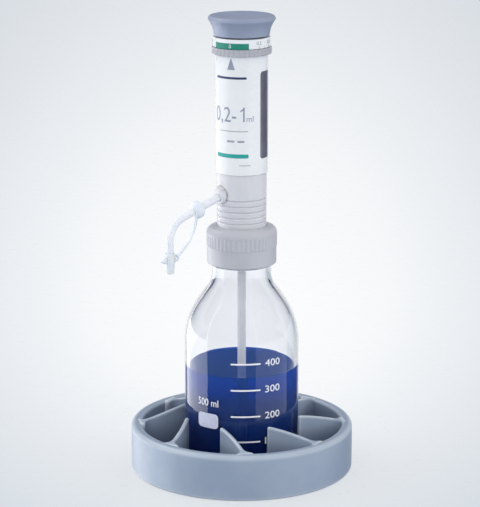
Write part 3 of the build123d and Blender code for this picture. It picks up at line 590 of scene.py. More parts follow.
class DISPENSER_OT_stand(bpy.types.Operator):
    """Round dish with a thick rim and curved vanes that centre the bottle"""

    bl_idname = "dispenser.stand"
    bl_label = "Bottle stand"

    def vane(self, s):
        """One vane, as a tube of upright sections along its curved middle line.

        The line leaves the rim at the lean angle and bends with a constant radius. A section's half
        width is t / 2, plus f (1 - sin p) in the floor's fillet at the height f (1 - cos p), less
        e (1 - cos q) in the top's rounding at the height e (1 - sin q) under the top. Near the rim
        the half width grows by w - sqrt(w^2 - (w - x)^2), x from the wall, and e grows with it.
        Round the free end the sections turn about its middle: along = w cos c, across = w sin c,
        for c from 8 to 90 degrees.
        """
        rim = (s.radius - s.wall) / MM
        half, fillet, flare = s.vane_thickness / MM / 2, s.fillet / MM, s.web / MM
        rim_top, rise = s.height / MM, s.rise / MM
        inner, bend, lean = 44.6, 117.0, radians(15.5)
        root = rim + half
        start = np.array([root, 0.0])
        centre = start + bend * np.array([sin(lean), -cos(lean)])

        def line(run):
            turn = run / bend
            x, y = start - centre
            return centre + np.stack([x * np.cos(turn) - y * np.sin(turn), x * np.sin(turn) + y * np.cos(turn)], -1)

        trial = np.linspace(0, 60, 400)
        free_end = np.interp(inner + half, np.linalg.norm(line(trial), axis=1)[::-1], trial[::-1])
        nose = np.radians(np.linspace(8, 90, 10))
        straight = free_end + 5.5 - np.geomspace(5.5, free_end + 8.0, 46)
        run = np.concatenate([np.full(10, free_end), straight[1:]])
        sideways = np.concatenate([np.sin(nose), np.ones(45)])
        onward = np.concatenate([np.cos(nose), np.zeros(45)])
        middle = line(run)
        turn = run / bend
        inward = np.stack([-np.cos(lean + turn), -np.sin(lean + turn)], -1)
        aside = np.stack([-inward[:, 1], inward[:, 0]], -1)
        away = np.linalg.norm(middle, axis=1)
        from_wall = np.clip(rim - away, 0, flare)
        web = flare - np.sqrt(flare**2 - (flare - from_wall) ** 2)
        edge = (1.4 + 0.17 * web)[:, None]
        top = rim_top + rise * np.clip((rim - away) / (rim - inner), 0, 1) - 0.6 * smooth(away, rim + 2.5, rim + 4.5)

        low = np.radians(np.linspace(0, 90, 8))
        round_top = np.radians(np.linspace(0, 90, 7))
        foot = np.concatenate([[fillet], fillet * (1 - np.sin(low)), np.zeros(5)])
        foot = np.broadcast_to(foot, (len(run), 14))
        fixed = np.concatenate([[BASE - 1], BASE + fillet * (1 - np.cos(low))])
        wall = np.linspace(0.1, 0.96, 5)
        under = top[:, None] - edge
        side = BASE + fillet + wall * (under - BASE - fillet)
        fixed = np.broadcast_to(fixed, (len(run), 9))
        height = np.concatenate([fixed, side, under + edge * np.sin(round_top)], 1)
        reach = half + web[:, None] + np.concatenate([foot, -edge * (1 - np.cos(round_top))], 1)
        reach = np.concatenate([reach, reach[:, ::-1]], 1)
        hand = np.repeat([1.0, -1.0], height.shape[1])
        height = np.concatenate([height, height[:, ::-1]], 1)
        across = hand * reach * sideways[:, None]
        along = reach * onward[:, None]
        flat = middle[:, None] + inward[:, None] * along[..., None] + aside[:, None] * across[..., None]
        return np.concatenate([flat, height[..., None]], -1)

    def painted_pocket_shade(self, finish, s):
        """Painted shade: darkens the pockets from 2 mm under the rim down to the floor, towards the hollow colour."""
        tree = finish.node_tree
        place = object_place(tree)
        flat = add(tree, "ShaderNodeMapping", {"Vector": place, "Scale": (1.0, 1.0, 0.0)}).outputs[0]
        across = add(tree, "ShaderNodeVectorMath", {0: flat}, operation="LENGTH").outputs["Value"]
        rim = s.radius - s.wall
        inside = spread(tree, across, rim + 0.001, rim - 0.001)
        tall = add(tree, "ShaderNodeSeparateXYZ", {0: place}).outputs["Z"]
        deep = spread(tree, tall, s.height - 0.002, 0.008, 0.0, 0.8)
        base = tree.nodes["Principled BSDF"].inputs["Base Color"]
        worn_and_lit = base.links[0].from_socket
        # Painted shade: the pockets are mixed towards the hollow colour, most at the floor
        tree.links.new(mixed(tree, worked(tree, "MULTIPLY", inside, deep), worn_and_lit, (*s.hollow, 1)), base)

    def execute(self, context):
        s = context.scene.stand_settings
        radius, wall, tall = s.radius / MM, s.wall / MM, s.height / MM
        corners = [(1, 0), (radius, 0, 2.0), (radius, tall, 3.2), (radius - wall, tall, 2.2)]
        corners += [(radius - wall, BASE, s.fillet / MM), (1, BASE)]
        dish = section(*corners, closed=False, steps=9)
        shells = [shell(lathe(denser(dish, 9, closed=False), 216))]
        blade = self.vane(s)
        for turn in radians(25.5 - 90) + turns(s.vanes):
            x, y, z = blade[..., 0], blade[..., 1], blade[..., 2]
            turned = np.stack([x * cos(turn) - y * sin(turn), x * sin(turn) + y * cos(turn), z], -1)
            shells.append(shell(turned))
        # Painted highlight: strong edge lightening towards a pale edge colour lights the rim and vane edges
        looks = {"patch": 34.0, "grain": 1700.0, "bump": 0.08, "wear": 0.9, "edge": linear(204, 214, 224)}
        finish = moulded("stand_rubber", s.grey, s.shade, 0.42, **looks, Specular_IOR_Level=0.6)
        self.painted_pocket_shade(finish, s)
        piece("stand", "stand", finish, shells, ["bottle_stand"])
        return {"FINISHED"}


def bottle_corners(wall, neck, low):
    """Foot, body, shoulder and neck of the bottle, inset by its wall, as in the part's source."""
    slope, heel, shoulder, hollow, straight = radians(35.5), 6.0, 56.0, 22.8, 4.6
    body, throat = BODY - wall, NECK - neck
    neck_corner = NECK_BEAD - straight - hollow * tan(slope / 2)
    lower = neck_corner - (BODY - NECK) / tan(slope) - wall * tan(slope / 2)
    upper = lower + (body - throat) / tan(slope)
    sides = [(body, low, max(heel - wall, 0.5), 7), (body, lower, shoulder - wall, 26)]
    return [*sides, (throat, upper, hollow + neck, 18)]


class DISPENSER_OT_bottle(bpy.types.Operator):
    """Glass bottle with a threaded mouth, and its fired white graduation"""

    bl_idname = "dispenser.bottle"
    bl_label = "Bottle"

    def ridge(self, radius, azimuth, height):
        """Mouth thread: a rib whose middle climbs by the pitch for each turn, fading at both ends."""
        tall, pitch, begin = 1.5, 4.0, 163.4
        rib = np.zeros(np.broadcast(radius, azimuth, height).shape)
        for turn in range(3):
            count = turn + azimuth / (2 * pi)
            away = np.abs(height - (begin + pitch * count))
            fade = smooth(count, 0.0, 0.12) * (1 - smooth(count, 1.85, 1.97))
            rib = np.maximum(rib, tall * fade * (1 - smooth(away, 0.35, 1.25)))
        outside = (radius > 19) & (height > NECK_BEAD + 1) & (height < MOUTH_TOP - 1)
        return radius + np.where(outside, rib, 0)

    def execute(self, context):
        s = context.scene.bottle_settings
        wall, rise = s.wall / MM, s.print_rise / MM
        punt, sunk = 30.0, 1.6
        across = np.linspace(0.5, punt, 14)
        base = np.stack([across, FOOT + dome(across, punt, sunk)], -1)
        outer = bottle_corners(0, 0, FOOT)
        inner = bottle_corners(wall, NECK_WALL, BASE_INSIDE)
        mouth = [(NECK, NECK_BEAD, 0.6), (MOUTH, NECK_BEAD, 0.4), (MOUTH, MOUTH_TOP, 1.2), (BORE, MOUTH_TOP, 1.2)]
        mouth += [(BORE, 162.1, 3), (NECK - NECK_WALL, NECK_BEAD, 2)]
        glass = section((punt, FOOT), *outer, *mouth, *inner[::-1], (0.5, BASE_INSIDE), closed=False)
        half = np.vstack([base[:-1], glass])
        half = denser_where(half, (half[:, 0] > 19) & (half[:, 1] > NECK_BEAD + 1.5), 0.3)
        azimuth = turns(180)[None]
        radius = self.ridge(half[:, 0, None], azimuth, half[:, 1, None])
        points = polar(radius, azimuth, half[:, 1, None])
        glass = glassy("bottle_glass", s.glass, 1.473)
        made = piece("glass_bottle", "bottle", glass, [shell(points)], ["bottle"])
        made.visible_shadow = made.visible_diffuse = False

        outside = s.radius / MM
        enamel = printed("white_enamel", s.enamel, roughness=0.45)
        shells = []
        for mark, height in zip(("100", "200", "300", "400"), (31.4, 51.1, 71.5, 91.7)):
            shells.append(pad(rectangle(22.4, 1.15, 0.4), outside, 27.9, height, rise))
            shells.append(lettering(mark, 12.6, s.digit_height / MM, outside, 56.2, height + 0.3, rise))
        shells.append(lettering("500 ml", 18.4, 5.6, outside, -12.2, 60.1, rise))
        piece("bottle_graduation", "bottle", enamel, shells)
        field = rectangle(18.3, 11.4, 2.9)
        chalky = printed("write_on_enamel", s.field, roughness=0.55)
        piece("bottle_write_on_field", "bottle", chalky, [pad(field, outside, -12.3, 45.9, rise)])
        return {"FINISHED"}


class DISPENSER_OT_reagent(bpy.types.Operator):
    """Blue reagent that wets the glass"""

    bl_idname = "dispenser.reagent"
    bl_label = "Reagent"

    def execute(self, context):
        s = context.scene.bottle_settings
        wetting = 0.12
        wall = s.wall / MM - wetting
        surface, climb = level("reagent", 1), s.meniscus / MM
        foot = bottle_corners(wall, NECK_WALL, BASE_INSIDE - wetting)[0]
        side = BODY - wall
        share = np.linspace(0, 1, 9)
        bowed = (1 - np.cos(share * pi / 2)) * climb
        edge = np.stack([side - 3.0 * (1 - share), surface + bowed], -1)[::-1]
        floor = section((0.5, foot[1]), foot, (side, surface - 4), closed=False)
        level_part = np.stack([np.linspace(33, 0.5, 8), np.full(8, surface)], -1)
        half = np.vstack([denser(floor, 6, closed=False), edge, level_part])
        blue = liquid("blue_liquid", s.body, s.deep, s.reagent, s.density)
        piece("blue_reagent", "bottle", blue, [shell(lathe(half, 180))], ["reagent"])
        return {"FINISHED"}


class DISPENSER_OT_collar(bpy.types.Operator):
    """Screw collar with a domed shoulder and a knurled band"""

    bl_idname = "dispenser.collar"
    bl_label = "Screw collar"

    def execute(self, context):
        s = context.scene.dispenser_settings
        foot, top = level("screw_collar", 0), level("screw_collar", 1)
        band, band_top, seat = foot + 13.8, foot + 23.2, BLOCK_Z + 4.05
        skirt, edge, bore, throat = 25.95, 26.35, 22.7, 18.6
        corners = [(bore, foot, 0.5), (skirt, foot, 1.7), (skirt, band - 0.1, 0.3), (edge, band, 0.25)]
        corners += [(edge, top - 1.9, 5.0, 12), (throat, top, 0.5), (throat, seat), (bore, seat)]
        half = section(*corners)
        on_band = (half[:, 0] > 25.5) & (half[:, 1] > band - 0.05) & (half[:, 1] < band_top + 2)
        half = denser_where(half, on_band, 0.45)
        azimuth = turns(576)[None]
        radius, height = half[:, 0, None], half[:, 1, None]
        deep = 0.5 * scallops(48, azimuth, 2.2)
        reach = smooth(height, band - 0.02, band + 0.25) * (1 - smooth(height, band_top - 1.6, band_top))
        radius = radius - np.where(radius > 25.6, deep * reach, 0)
        finish = moulded("collar_plastic", s.collar, dimmed(s.collar, 0.93), 0.38, patch=45.0, grain=3200.0, wear=0.4)
        points = polar(radius, azimuth, height)
        piece("collar_ring", "collar", finish, [shell(points, ring=True)], ["screw_collar"])
        return {"FINISHED"}


class DISPENSER_OT_block(bpy.types.Operator):
    """Milky valve block with its ring grooves and the boss of the spout"""

    bl_idname = "dispenser.block"
    bl_label = "Valve block"

    def execute(self, context):
        s = context.scene.dispenser_settings
        low, top, body = level("valve_block", 0), level("valve_block", 1), s.block_radius / MM
        foot, shoulder = body - 0.35, level("outer_sleeve", 0)
        corners = [(7.5, low, 1.0), (7.5, BLOCK_Z, 0.6), (19.5, BLOCK_Z), (19.5, BLOCK_Z + 4), (foot, BLOCK_Z + 4)]
        for groove in range(5):
            middle = BLOCK_Z + 29.1 - 4.35 * (4 - groove)
            at = foot + 0.35 * (middle - BLOCK_Z) / (shoulder - BLOCK_Z)
            corners += [(at, middle - 0.62, 0.3), (foot - 0.5, middle - 0.35, 0.2)]
            corners += [(foot - 0.5, middle + 0.35, 0.2), (at, middle + 0.62, 0.3)]
        corners += [(body, shoulder), (17.15, shoulder), (17.15, top), (8.1, top), (8.1, 226), (5.05, 226)]
        corners += [(5.05, 205), (3.0, 205), (3.0, 197), (1.5, 197), (1.5, 173), (2.9, 173), (2.9, 170)]
        corners += [(5.55, 170), (5.55, low)]
        core = shell(lathe(section(*corners, steps=4), 160), ring=True)
        face = 20.4 / cos(SPOUT_DROP)
        corners = [(1, 15.6), (7.7, 16.5, 0.3), (6.7, 18.6, 1.4), (6.45, face, 2.0), (3.0, face + 0.25, 0.6)]
        boss = section(*corners, (1, face + 0.25), closed=False)
        shells = [core, shell(on_spout(lathe(boss, 96), 0))]
        looks = {"patch": 70.0, "grain": 2400.0, "bump": 0.03, "wear": 0.3, "Coat_Weight": 0.12}
        looks |= {"Subsurface_Weight": 0.75, "Subsurface_Radius": (1.0, 1.0, 1.1), "Subsurface_Scale": 0.003}
        milky = moulded("milky_plastic", s.milky, dimmed(s.milky, 0.95), 0.34, **looks)
        piece("milky_valve_block", "dispenser", milky, shells, ["valve_block"])
        return {"FINISHED"}


class DISPENSER_OT_spout(bpy.types.Operator):
    """Translucent discharge tube, the tether with its ring, and the winged cap"""

    bl_idname = "dispenser.spout"
    bl_label = "Spout and cap"

    def tube(self, radius):
        """Sloping run, one bend and a drawn tip, as sections of two radii.

        The middle line lies in the spout's upright plane: straight to the bend, an arc of radius R
        about a centre R tan(turn / 2) before the corner, then straight down.
        """
        bend, socket, bore, tip = 18.0, 16.0, 1.5, level("discharge_tube", 0)
        corner = np.array([TIP_REACH, spout_height(TIP_REACH)])
        run_in = bend * tan((pi / 2 - SPOUT_DROP) / 2)
        into = corner - np.array([cos(SPOUT_DROP), -sin(SPOUT_DROP)]) * run_in
        begin = np.array([socket, spout_height(socket)])
        middle = into + bend * np.array([-sin(SPOUT_DROP), -cos(SPOUT_DROP)])
        angle = np.linspace(SPOUT_DROP, pi / 2, 26)
        arc = middle + bend * np.stack([np.sin(angle), np.cos(angle)], -1)
        drop = np.concatenate([np.linspace(arc[-1, 1], TIP_WIDE, 6)[1:-1], np.linspace(TIP_WIDE, TIP_NARROW, 5)])
        drop = np.concatenate([drop, np.linspace(168, tip + 0.5, 4), [tip + 0.2, tip + 0.05, tip]])
        down = np.stack([np.full(len(drop), TIP_REACH), drop], -1)
        flat = np.vstack([np.linspace(begin, into, 20)[:-1], arc, down])
        tangent = np.gradient(flat, axis=0)
        tangent[-len(drop) :] = (0, -1)
        hanging = flat[:, 0] > TIP_REACH - 1
        narrow = (1 - smooth(flat[:, 1], TIP_NARROW, TIP_WIDE)) * hanging
        edge = np.clip((tip + 0.4 - flat[:, 1]) / 0.4, 0, 1) * hanging
        outer = radius - (radius - 1.9) * narrow - 0.4 * (1 - np.sqrt(1 - edge**2))
        inner = bore - 0.6 * narrow
        circle = turns(40)
        walls = [swept(flat, tangent, radii, np.cos(circle), np.sin(circle)) for radii in (outer, inner)]
        return shell(np.concatenate([walls[0], walls[1][::-1]]), ring=True)

    def strap(self):
        """Strap: an arc that bows inwards, with a flattened round section, thicker at its ends."""
        ring_reach, ring_waist, bow = BEAD_REACH + 7.0 / 4, 3.6, 4.0
        start = np.array([ring_reach, spout_height(ring_reach)])
        start -= ring_waist * np.array([sin(SPOUT_DROP), cos(SPOUT_DROP)])
        chord = np.array([57.0, 171.2]) - start
        share = np.linspace(0, 1, 42)[:, None]
        side = np.array([chord[1], -chord[0]]) / np.linalg.norm(chord)
        flat = start + chord * share + side * bow * 4 * share * (1 - share)
        radius = 1.25 + 0.5 * smooth(np.abs(2 * share[:, 0] - 1), 0.8, 1.0)
        circle = turns(28)
        points = swept(flat, np.gradient(flat, axis=0), radius, 0.82 * np.cos(circle), 1.15 * np.sin(circle))
        return shell(points)

    def wing(self):
        """Both wings as one pad: the outline shrinks by s while half its thickness is
        t / 2 (1 - s^5)^(1/3), so that the edge is full and round."""
        z, tall, outer, inner = 169.4, 5.4, 8.9, 7.6
        corners = [(-inner, z + tall * 0.18, 1.0), (-inner * 0.6, z + tall / 2, 1.2), (0, z + tall / 2 - 0.2, 3.0)]
        corners += [(outer * 0.45, z + tall / 2, 1.6), (outer, z - tall * 0.1, 0.7), (outer * 0.55, z - tall / 2, 1.4)]
        corners += [(-inner * 0.5, z - tall / 2, 1.6), (-inner, z - tall * 0.2, 1.0)]
        outline = denser(section(*corners), 0.8)
        middle = np.array([0.4, z])
        grown = [0.03, 0.4, 0.7, 0.86, 0.94, 0.98]
        share = np.array([*grown, 1.0, *grown[::-1]])
        hand = np.concatenate([np.full(7, -1.0), np.full(6, 1.0)])
        thick = hand * 1.6 * (1 - share**5) ** (1 / 3)
        flat = middle + (outline - middle)[None] * share[:, None, None]
        aside = thick[:, None, None] * np.cross(SPOUT_OUT, UP)
        return shell((TIP_REACH + flat[..., :1]) * SPOUT_OUT + flat[..., 1:] * UP + aside)

    def execute(self, context):
        s = context.scene.dispenser_settings
        looks = {"patch": 120.0, "bump": 0.02, "wear": 0.0, "Subsurface_Weight": 0.4, "Subsurface_Scale": 0.002}
        looks["Subsurface_Radius"] = (1.0, 1.0, 1.1)
        clear = moulded("spout_plastic", linear(236, 239, 246), linear(226, 231, 241), 0.3, **looks)
        piece("spout_tube", "dispenser", clear, [self.tube(s.spout_radius / MM)], ["discharge_tube"])
        looks |= {"grain": 3000.0, "Subsurface_Radius": (0.8, 0.9, 1.2)}
        silicone = moulded("bluish_silicone", linear(230, 235, 243), linear(219, 227, 239), 0.36, **looks)
        bead = shell(on_spout(lathe(self.ring_half(), 72), BEAD_REACH), ring=True)
        piece("tether_bead", "dispenser", silicone, [bead], ["tether_ring"])
        strap = piece("tether_strap", None, silicone, [self.strap()], ["cap_tether"])
        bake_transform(strap)
        foot = level("spout_cap", 0)
        corners = [(0.6, foot), (2.85, foot, 1.0), (3.5, 167.5, 1.0), (3.5, 172.0, 0.4), (3.75, 172.3, 0.2)]
        corners += [(3.75, 174.19, 0.5), (3.1, 174.19), (3.1, 174.1), (2.2, 170.2), (2.2, 160.2), (0.6, 160.2)]
        skirt = section(*corners, closed=False)
        shells = [shell(lathe(skirt, 64) + SPOUT_OUT * TIP_REACH), self.wing()]
        piece("winged_cap", "tip_cap", silicone, shells, ["spout_cap"])
        return {"FINISHED"}

    def ring_half(self):
        """Bead round the spout: a full round of radius 2.6 on both edges, with a shallow waist."""
        return section((2.9, -3.5), (6.6, -3.5, 2.6), (6.6, 3.5, 2.6), (2.9, 3.5), steps=10)


class DISPENSER_OT_sleeve(bpy.types.Operator):
    """White sleeve with its dark strip, pointer, range figures and plain lines"""

    bl_idname = "dispenser.sleeve"
    bl_label = "Outer sleeve"

    def execute(self, context):
        s = context.scene.dispenser_settings
        radius, rise = s.sleeve_radius / MM, s.print_rise / MM
        low, top = level("outer_sleeve", 0), level("outer_sleeve", 1)
        bore, window = radius - 2.2, (240.2 + 305.2) / 2
        half = section((bore, low, 0.3), (radius, low, 0.5), (radius, top, 0.4), (bore, top, 0.3))
        ends = denser(np.array([[radius, 237.4], [radius, 308.0]]), 0.3, closed=False)
        outer = np.flatnonzero(half[:, 0] > radius - 0.001)
        half = np.vstack([half[: outer[0] + 1], ends, half[outer[-1] :]])
        fine = np.radians(np.linspace(90 - 25, 90 + 25, 100))
        azimuth = np.concatenate([np.radians(np.linspace(-180, 63, 110)), fine, np.radians(np.linspace(117, 177, 26))])
        r, h = half[:, 0, None], half[:, 1, None]
        aside = np.abs((azimuth[None] - pi / 2) * radius) - (7.2 - 2.6)
        away = np.abs(h - window) - (32.5 - 2.6)
        inside = np.hypot(np.maximum(aside, 0), np.maximum(away, 0)) + np.minimum(np.maximum(aside, away), 0) - 2.6
        sunk = np.where(r > radius - 0.001, 0.35 * (1 - smooth(inside, -0.25, 0.2)), 0)
        points = polar(r - sunk, azimuth[None], h)
        looks = {"patch": 40.0, "bump": 0.025, "wear": 0.1}
        looks |= {"Coat_Weight": 0.08, "Coat_Roughness": 0.2, "Specular_IOR_Level": 0.4}
        white = moulded("sleeve_plastic", s.white, dimmed(s.white, 0.96), 0.3, **looks)
        piece("white_sleeve", "dispenser", white, [shell(points, ring=True)], ["outer_sleeve"])
        looks = {"grain": 1500.0, "bump": 0.02, "wear": 0.0, "Coat_Weight": 0.3}
        slate = moulded("window_slate", s.slate, dimmed(s.slate, 0.8), 0.2, **looks)
        strip = pad(rectangle(13.9, 64.5, 2.4), radius - 0.4, 90, window, 0.3, sink=2.5, rings=9)
        piece("dark_strip", "dispenser", slate, [strip], ["sleeve_window"])

        grey = printed("print_grey", s.print_grey, 0.92)
        arrow = denser(section((-3.1, -4.4), (3.1, -4.4), (0, 4.4)), 0.6)
        flag = denser(section((0.55, 1.75), (-2.6, -0.6), (-2.6, -1.75), (0.55, 0.35)), 0.5)
        shells = [
            pad(arrow, radius, 0, 311.4, rise),
            lettering("0,2-", 19.5, 12.9, radius, -17.0, 273.2, rise),
            pad(rectangle(1.15, 10.6, 0.1), radius, 28.6, 274.3, rise),
            pad(flag, radius, 28.6, 277.85, rise),
            lettering("ml", 5.3, 4.3, radius, 42.2, 271.1, rise),
        ]
        piece("sleeve_pointer_and_range", "dispenser", grey, shells)
        pale = moulded("print_pale_grey", linear(158, 163, 174), linear(148, 155, 166), 0.5, patch=300.0, wear=0.0)
        lines = [(23.0, 0.55, 4, 261.8), (6.0, 1.5, -1, 254.3), (5.0, 1.5, 22, 254.3), (8.5, 0.55, 31, 236.4)]
        shells = [pad(rectangle(wide, tall, 0.12), radius, place, height, rise) for wide, tall, place, height in lines]
        piece("sleeve_small_lines", "dispenser", pale, shells)
        navy = printed("print_navy", s.navy)
        piece("sleeve_upper_line", "dispenser", navy, [pad(rectangle(26.0, 1.7, 0.4), radius, -4, 301.0, rise)])
        teal = printed("print_teal", s.teal, 0.92)
        piece("sleeve_accent_line", "dispenser", teal, [pad(rectangle(27.0, 3.0, 0.7), radius, -1, 243.4, rise)])
        return {"FINISHED"}


class DISPENSER_OT_lock(bpy.types.Operator):
    """Scalloped locking ring between sleeve and dial"""

    bl_idname = "dispenser.lock"
    bl_label = "Locking ring"

    def execute(self, context):
        s = context.scene.dispenser_settings
        top = level("locking_ring", 1)
        low, edge, bore, throat, under = top - 5.2, 22.07, 19.7, 14.2, top - 1.8
        corners = [(bore, low, 0.3), (edge, low, 0.9), (edge, top, 0.6), (throat, top, 0.2)]
        half = denser(section(*corners, (throat, under), (bore, under)), 0.8)
        azimuth = turns(456)[None]
        radius, height = half[:, 0, None], half[:, 1, None]
        radius = radius - 0.42 * scallops(38, azimuth, 3) * smooth(radius, 20.6, 21.6)
        shells = [shell(polar(radius, azimuth, height), ring=True)]
        key_low, key_high = level("locking_ring", 0), top - 0.9
        for turn in (90.0, 270.0):
            key = rectangle(3.4, key_high - key_low, 0.3)
            shells.append(pad(key, 17.0, turn, (key_low + key_high) / 2, 0.98, sink=0.78))
        grey = moulded("lock_ring_grey", s.ring, dimmed(s.ring, 0.93), 0.42, patch=50.0, grain=3000.0, wear=0.35)
        piece("scalloped_lock_ring", "lock_ring", grey, shells, ["locking_ring"])
        self.spring()
        return {"FINISHED"}

    def spring(self):
        """Four turns of round wire: R cos a, R sin a, rising evenly."""
        wire, travel, loops, steps = 0.4, 2.5, 4.0, 241
        low, high = level("lock_ring_spring", 0), level("lock_ring_spring", 1)
        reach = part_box("lock_ring_spring")[1].x / MM - wire
        azimuth = np.linspace(0, 2 * pi * loops, steps)
        line = polar(reach, azimuth, np.linspace(low + wire, high - wire, steps))
        outward = polar(1.0, azimuth, 0.0)
        forward = np.gradient(line, axis=0)
        upright = np.cross(forward / np.linalg.norm(forward, axis=1, keepdims=True), outward)
        turn = turns(10)
        round_wire = outward[:, None] * np.cos(turn)[None, :, None] + upright[:, None] * np.sin(turn)[None, :, None]
        coil = shell(line[:, None] + wire * round_wire)
        coil = piece("ring_spring", "dispenser", steel(), [coil], ["lock_ring_spring"])
        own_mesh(coil)


class DISPENSER_OT_dial(bpy.types.Operator):
    """Volume scale ring with its green scale"""

    bl_idname = "dispenser.dial"
    bl_label = "Volume scale ring"

    def execute(self, context):
        s = context.scene.dispenser_settings
        radius, rise = s.dial_radius / MM, s.print_rise / MM
        low, top = level("volume_scale_ring", 0), level("volume_scale_ring", 1)
        bore, hub, lip, inside = 13.55, 16.55, 14.95, radius - 1.9
        corners = [(bore, low, 0.2), (hub, low, 0.2), (hub, low + 4), (inside, low + 4), (inside, low, 0.3)]
        corners += [(radius, low, 0.4), (radius, top, 0.7), (lip, top, 0.2), (lip, top - 1.25), (bore, top - 1.25)]
        points = lathe(denser(section(*corners), 2.5), 168)
        white = moulded("dial_plastic", s.white, dimmed(s.white, 0.96), 0.32, patch=40.0, bump=0.025, Coat_Weight=0.2)
        piece("scale_ring", "dial", white, [shell(points, ring=True)], ["volume_scale_ring"])
        green = printed("print_green", s.green, roughness=0.45)
        shells = [pad(rectangle(28.2, 4.3, 0.25), radius, 0, low + 2.2, rise, rings=12)]
        for step in range(9):
            place = 60.0 + 30 * step
            mark = f"{0.2 + 0.1 * step:.1f}"
            shells.append(lettering(mark, 4.0, 2.4, radius, place, low + 4.3, rise))
            shells.append(pad(rectangle(0.35, 2.1, 0.1), radius, place, low + 1.25, rise))
            if step < 8:
                shells.append(pad(rectangle(0.28, 1.2, 0.08), radius, place + 15, low + 0.8, rise))
        piece("dial_scale", "dial", green, shells)
        zero = moulded("print_white", linear(240, 243, 245), linear(228, 232, 236), 0.45, patch=300.0, wear=0.0)
        piece("dial_zero", "dial", zero, [lettering("0", 1.6, 2.8, radius + rise, 0, low + 2.3, rise)])
        return {"FINISHED"}


class DISPENSER_OT_knob(bpy.types.Operator):
    """Flared plunger knob with a dished top"""

    bl_idname = "dispenser.knob"
    bl_label = "Plunger knob"

    def execute(self, context):
        """The flank is the parabola r(z) through foot, waist and rim; the rim is a quarter ellipse, and
        the dish a sphere's cap turned over."""
        s = context.scene.dispenser_settings
        low, top, edge = level("plunger_knob", 0), level("plunger_knob", 1), s.knob_radius / MM
        rim_tall, rim_wide, sunk = 2.6, 2.2, 1.2
        rim, lip, roof, groove = top - rim_tall, edge - rim_wide, 339.55, 337.1
        curve = np.polyfit([low, low + 7.0, rim], [20.6, 22.2, edge], 2)
        heights = np.linspace(low + 0.7, rim, 16)
        flank = np.stack([np.polyval(curve, heights), heights], -1)
        angle = np.radians(np.linspace(8, 90, 11))
        lip_round = np.stack([lip + rim_wide * np.cos(angle), rim + rim_tall * np.sin(angle)], -1)
        across = np.linspace(lip - 0.8, 0.6, 12)
        dish = np.stack([across, top - dome(across, lip, sunk)], -1)
        corners = [(0.6, roof), (11.05, roof), (11.05, low, 0.4), (13.4, low, 0.4), (13.4, groove, 1.0)]
        corners += [(18.2, groove, 1.0), (18.2, low, 0.4), (20.3, low, 0.2), (20.5, low + 0.3)]
        half = np.vstack([section(*corners, closed=False), flank, lip_round, dish])
        looks = {"patch": 45.0, "grain": 2400.0, "wear": 0.35, "Specular_IOR_Level": 0.45}
        grey = moulded("knob_plastic", s.knob, dimmed(s.knob, 0.92), 0.42, **looks)
        piece("flared_knob", "plunger", grey, [shell(lathe(half, 180))], ["plunger_knob"])
        return {"FINISHED"}


class DISPENSER_OT_suction(bpy.types.Operator):
    """Suction tube, cut at an angle at its tip"""

    bl_idname = "dispenser.suction"
    bl_label = "Suction tube"

    def execute(self, context):
        """Below the cut, the height is raised to tip + x where x is above zero: a 45 degree bevel."""
        low, top = level("suction_tube", 0), level("suction_tube", 1)
        bore, side = 2.0, 3.25
        half = denser(section((bore, low), (side, low), (side, top, 0.2), (bore, top)), 8)
        points = lathe(half, 64)
        points[..., 2] = np.maximum(points[..., 2], low + points[..., 0])
        looks = {"patch": 90.0, "grain": 1500.0, "bump": 0.01, "wear": 0.0, "uneven": 0.04}
        looks |= {"Transmission_Weight": 0.45, "IOR": 1.35}
        tube = moulded("suction_tube_plastic", linear(250, 251, 254), linear(246, 248, 252), 0.14, **looks)
        piece("dip_tube", "dispenser", tube, [shell(points, ring=True)], ["suction_tube"])
        return {"FINISHED"}


class DISPENSER_OT_inner(bpy.types.Operator):
    """Finishes of the valves, cylinder, piston, cam and other pieces kept from the CAD"""

    bl_idname = "dispenser.inner"
    bl_label = "Inner pieces"

    def execute(self, context):
        s = context.scene.dispenser_settings
        glass = glassy("cylinder_glass", linear(244, 247, 252), 1.473, wave=60.0)
        white, ceramic, plain_white, rubber = (
            moulded(name, linear(*base), linear(*shade), roughness, patch=patch, wear=0.0, **more)
            for name, base, shade, roughness, patch, more in (
                ("seal_plastic", (232, 233, 230), (222, 223, 220), 0.4, 200.0, {}),
                ("piston_ceramic", (240, 238, 232), (232, 229, 222), 0.16, 80.0, {}),
                ("bearing_plastic", (216, 219, 224), (204, 208, 214), 0.42, 90.0, {}),
                ("black_rubber", (38, 38, 40), (30, 30, 32), 0.55, 300.0, {"grain": 4000.0}),
            )
        )
        stem = moulded("stem_plastic", s.white, dimmed(s.white, 0.95), 0.34, wear=0.0, Coat_Weight=0.15)
        finishes = [
            (white, "bottle_seal suction_valve_seat discharge_valve_seat piston_seal"),
            (ceramic, "suction_valve_ball discharge_valve_ball ceramic_piston"),
            (plain_white, "discharge_valve_plug cylinder_retainer piston_coupling cam_bearing stop_cam"),
            (glass, "glass_cylinder"),
            (rubber, "cylinder_o_ring"),
            (stem, "plunger_stem"),
            (steel(), "cam_clip stop_pin"),
        ]
        for finish, nodes in finishes:
            for node in nodes.split():
                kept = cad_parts[node].data.materials
                kept.clear()
                kept.append(finish)
        return {"FINISHED"}


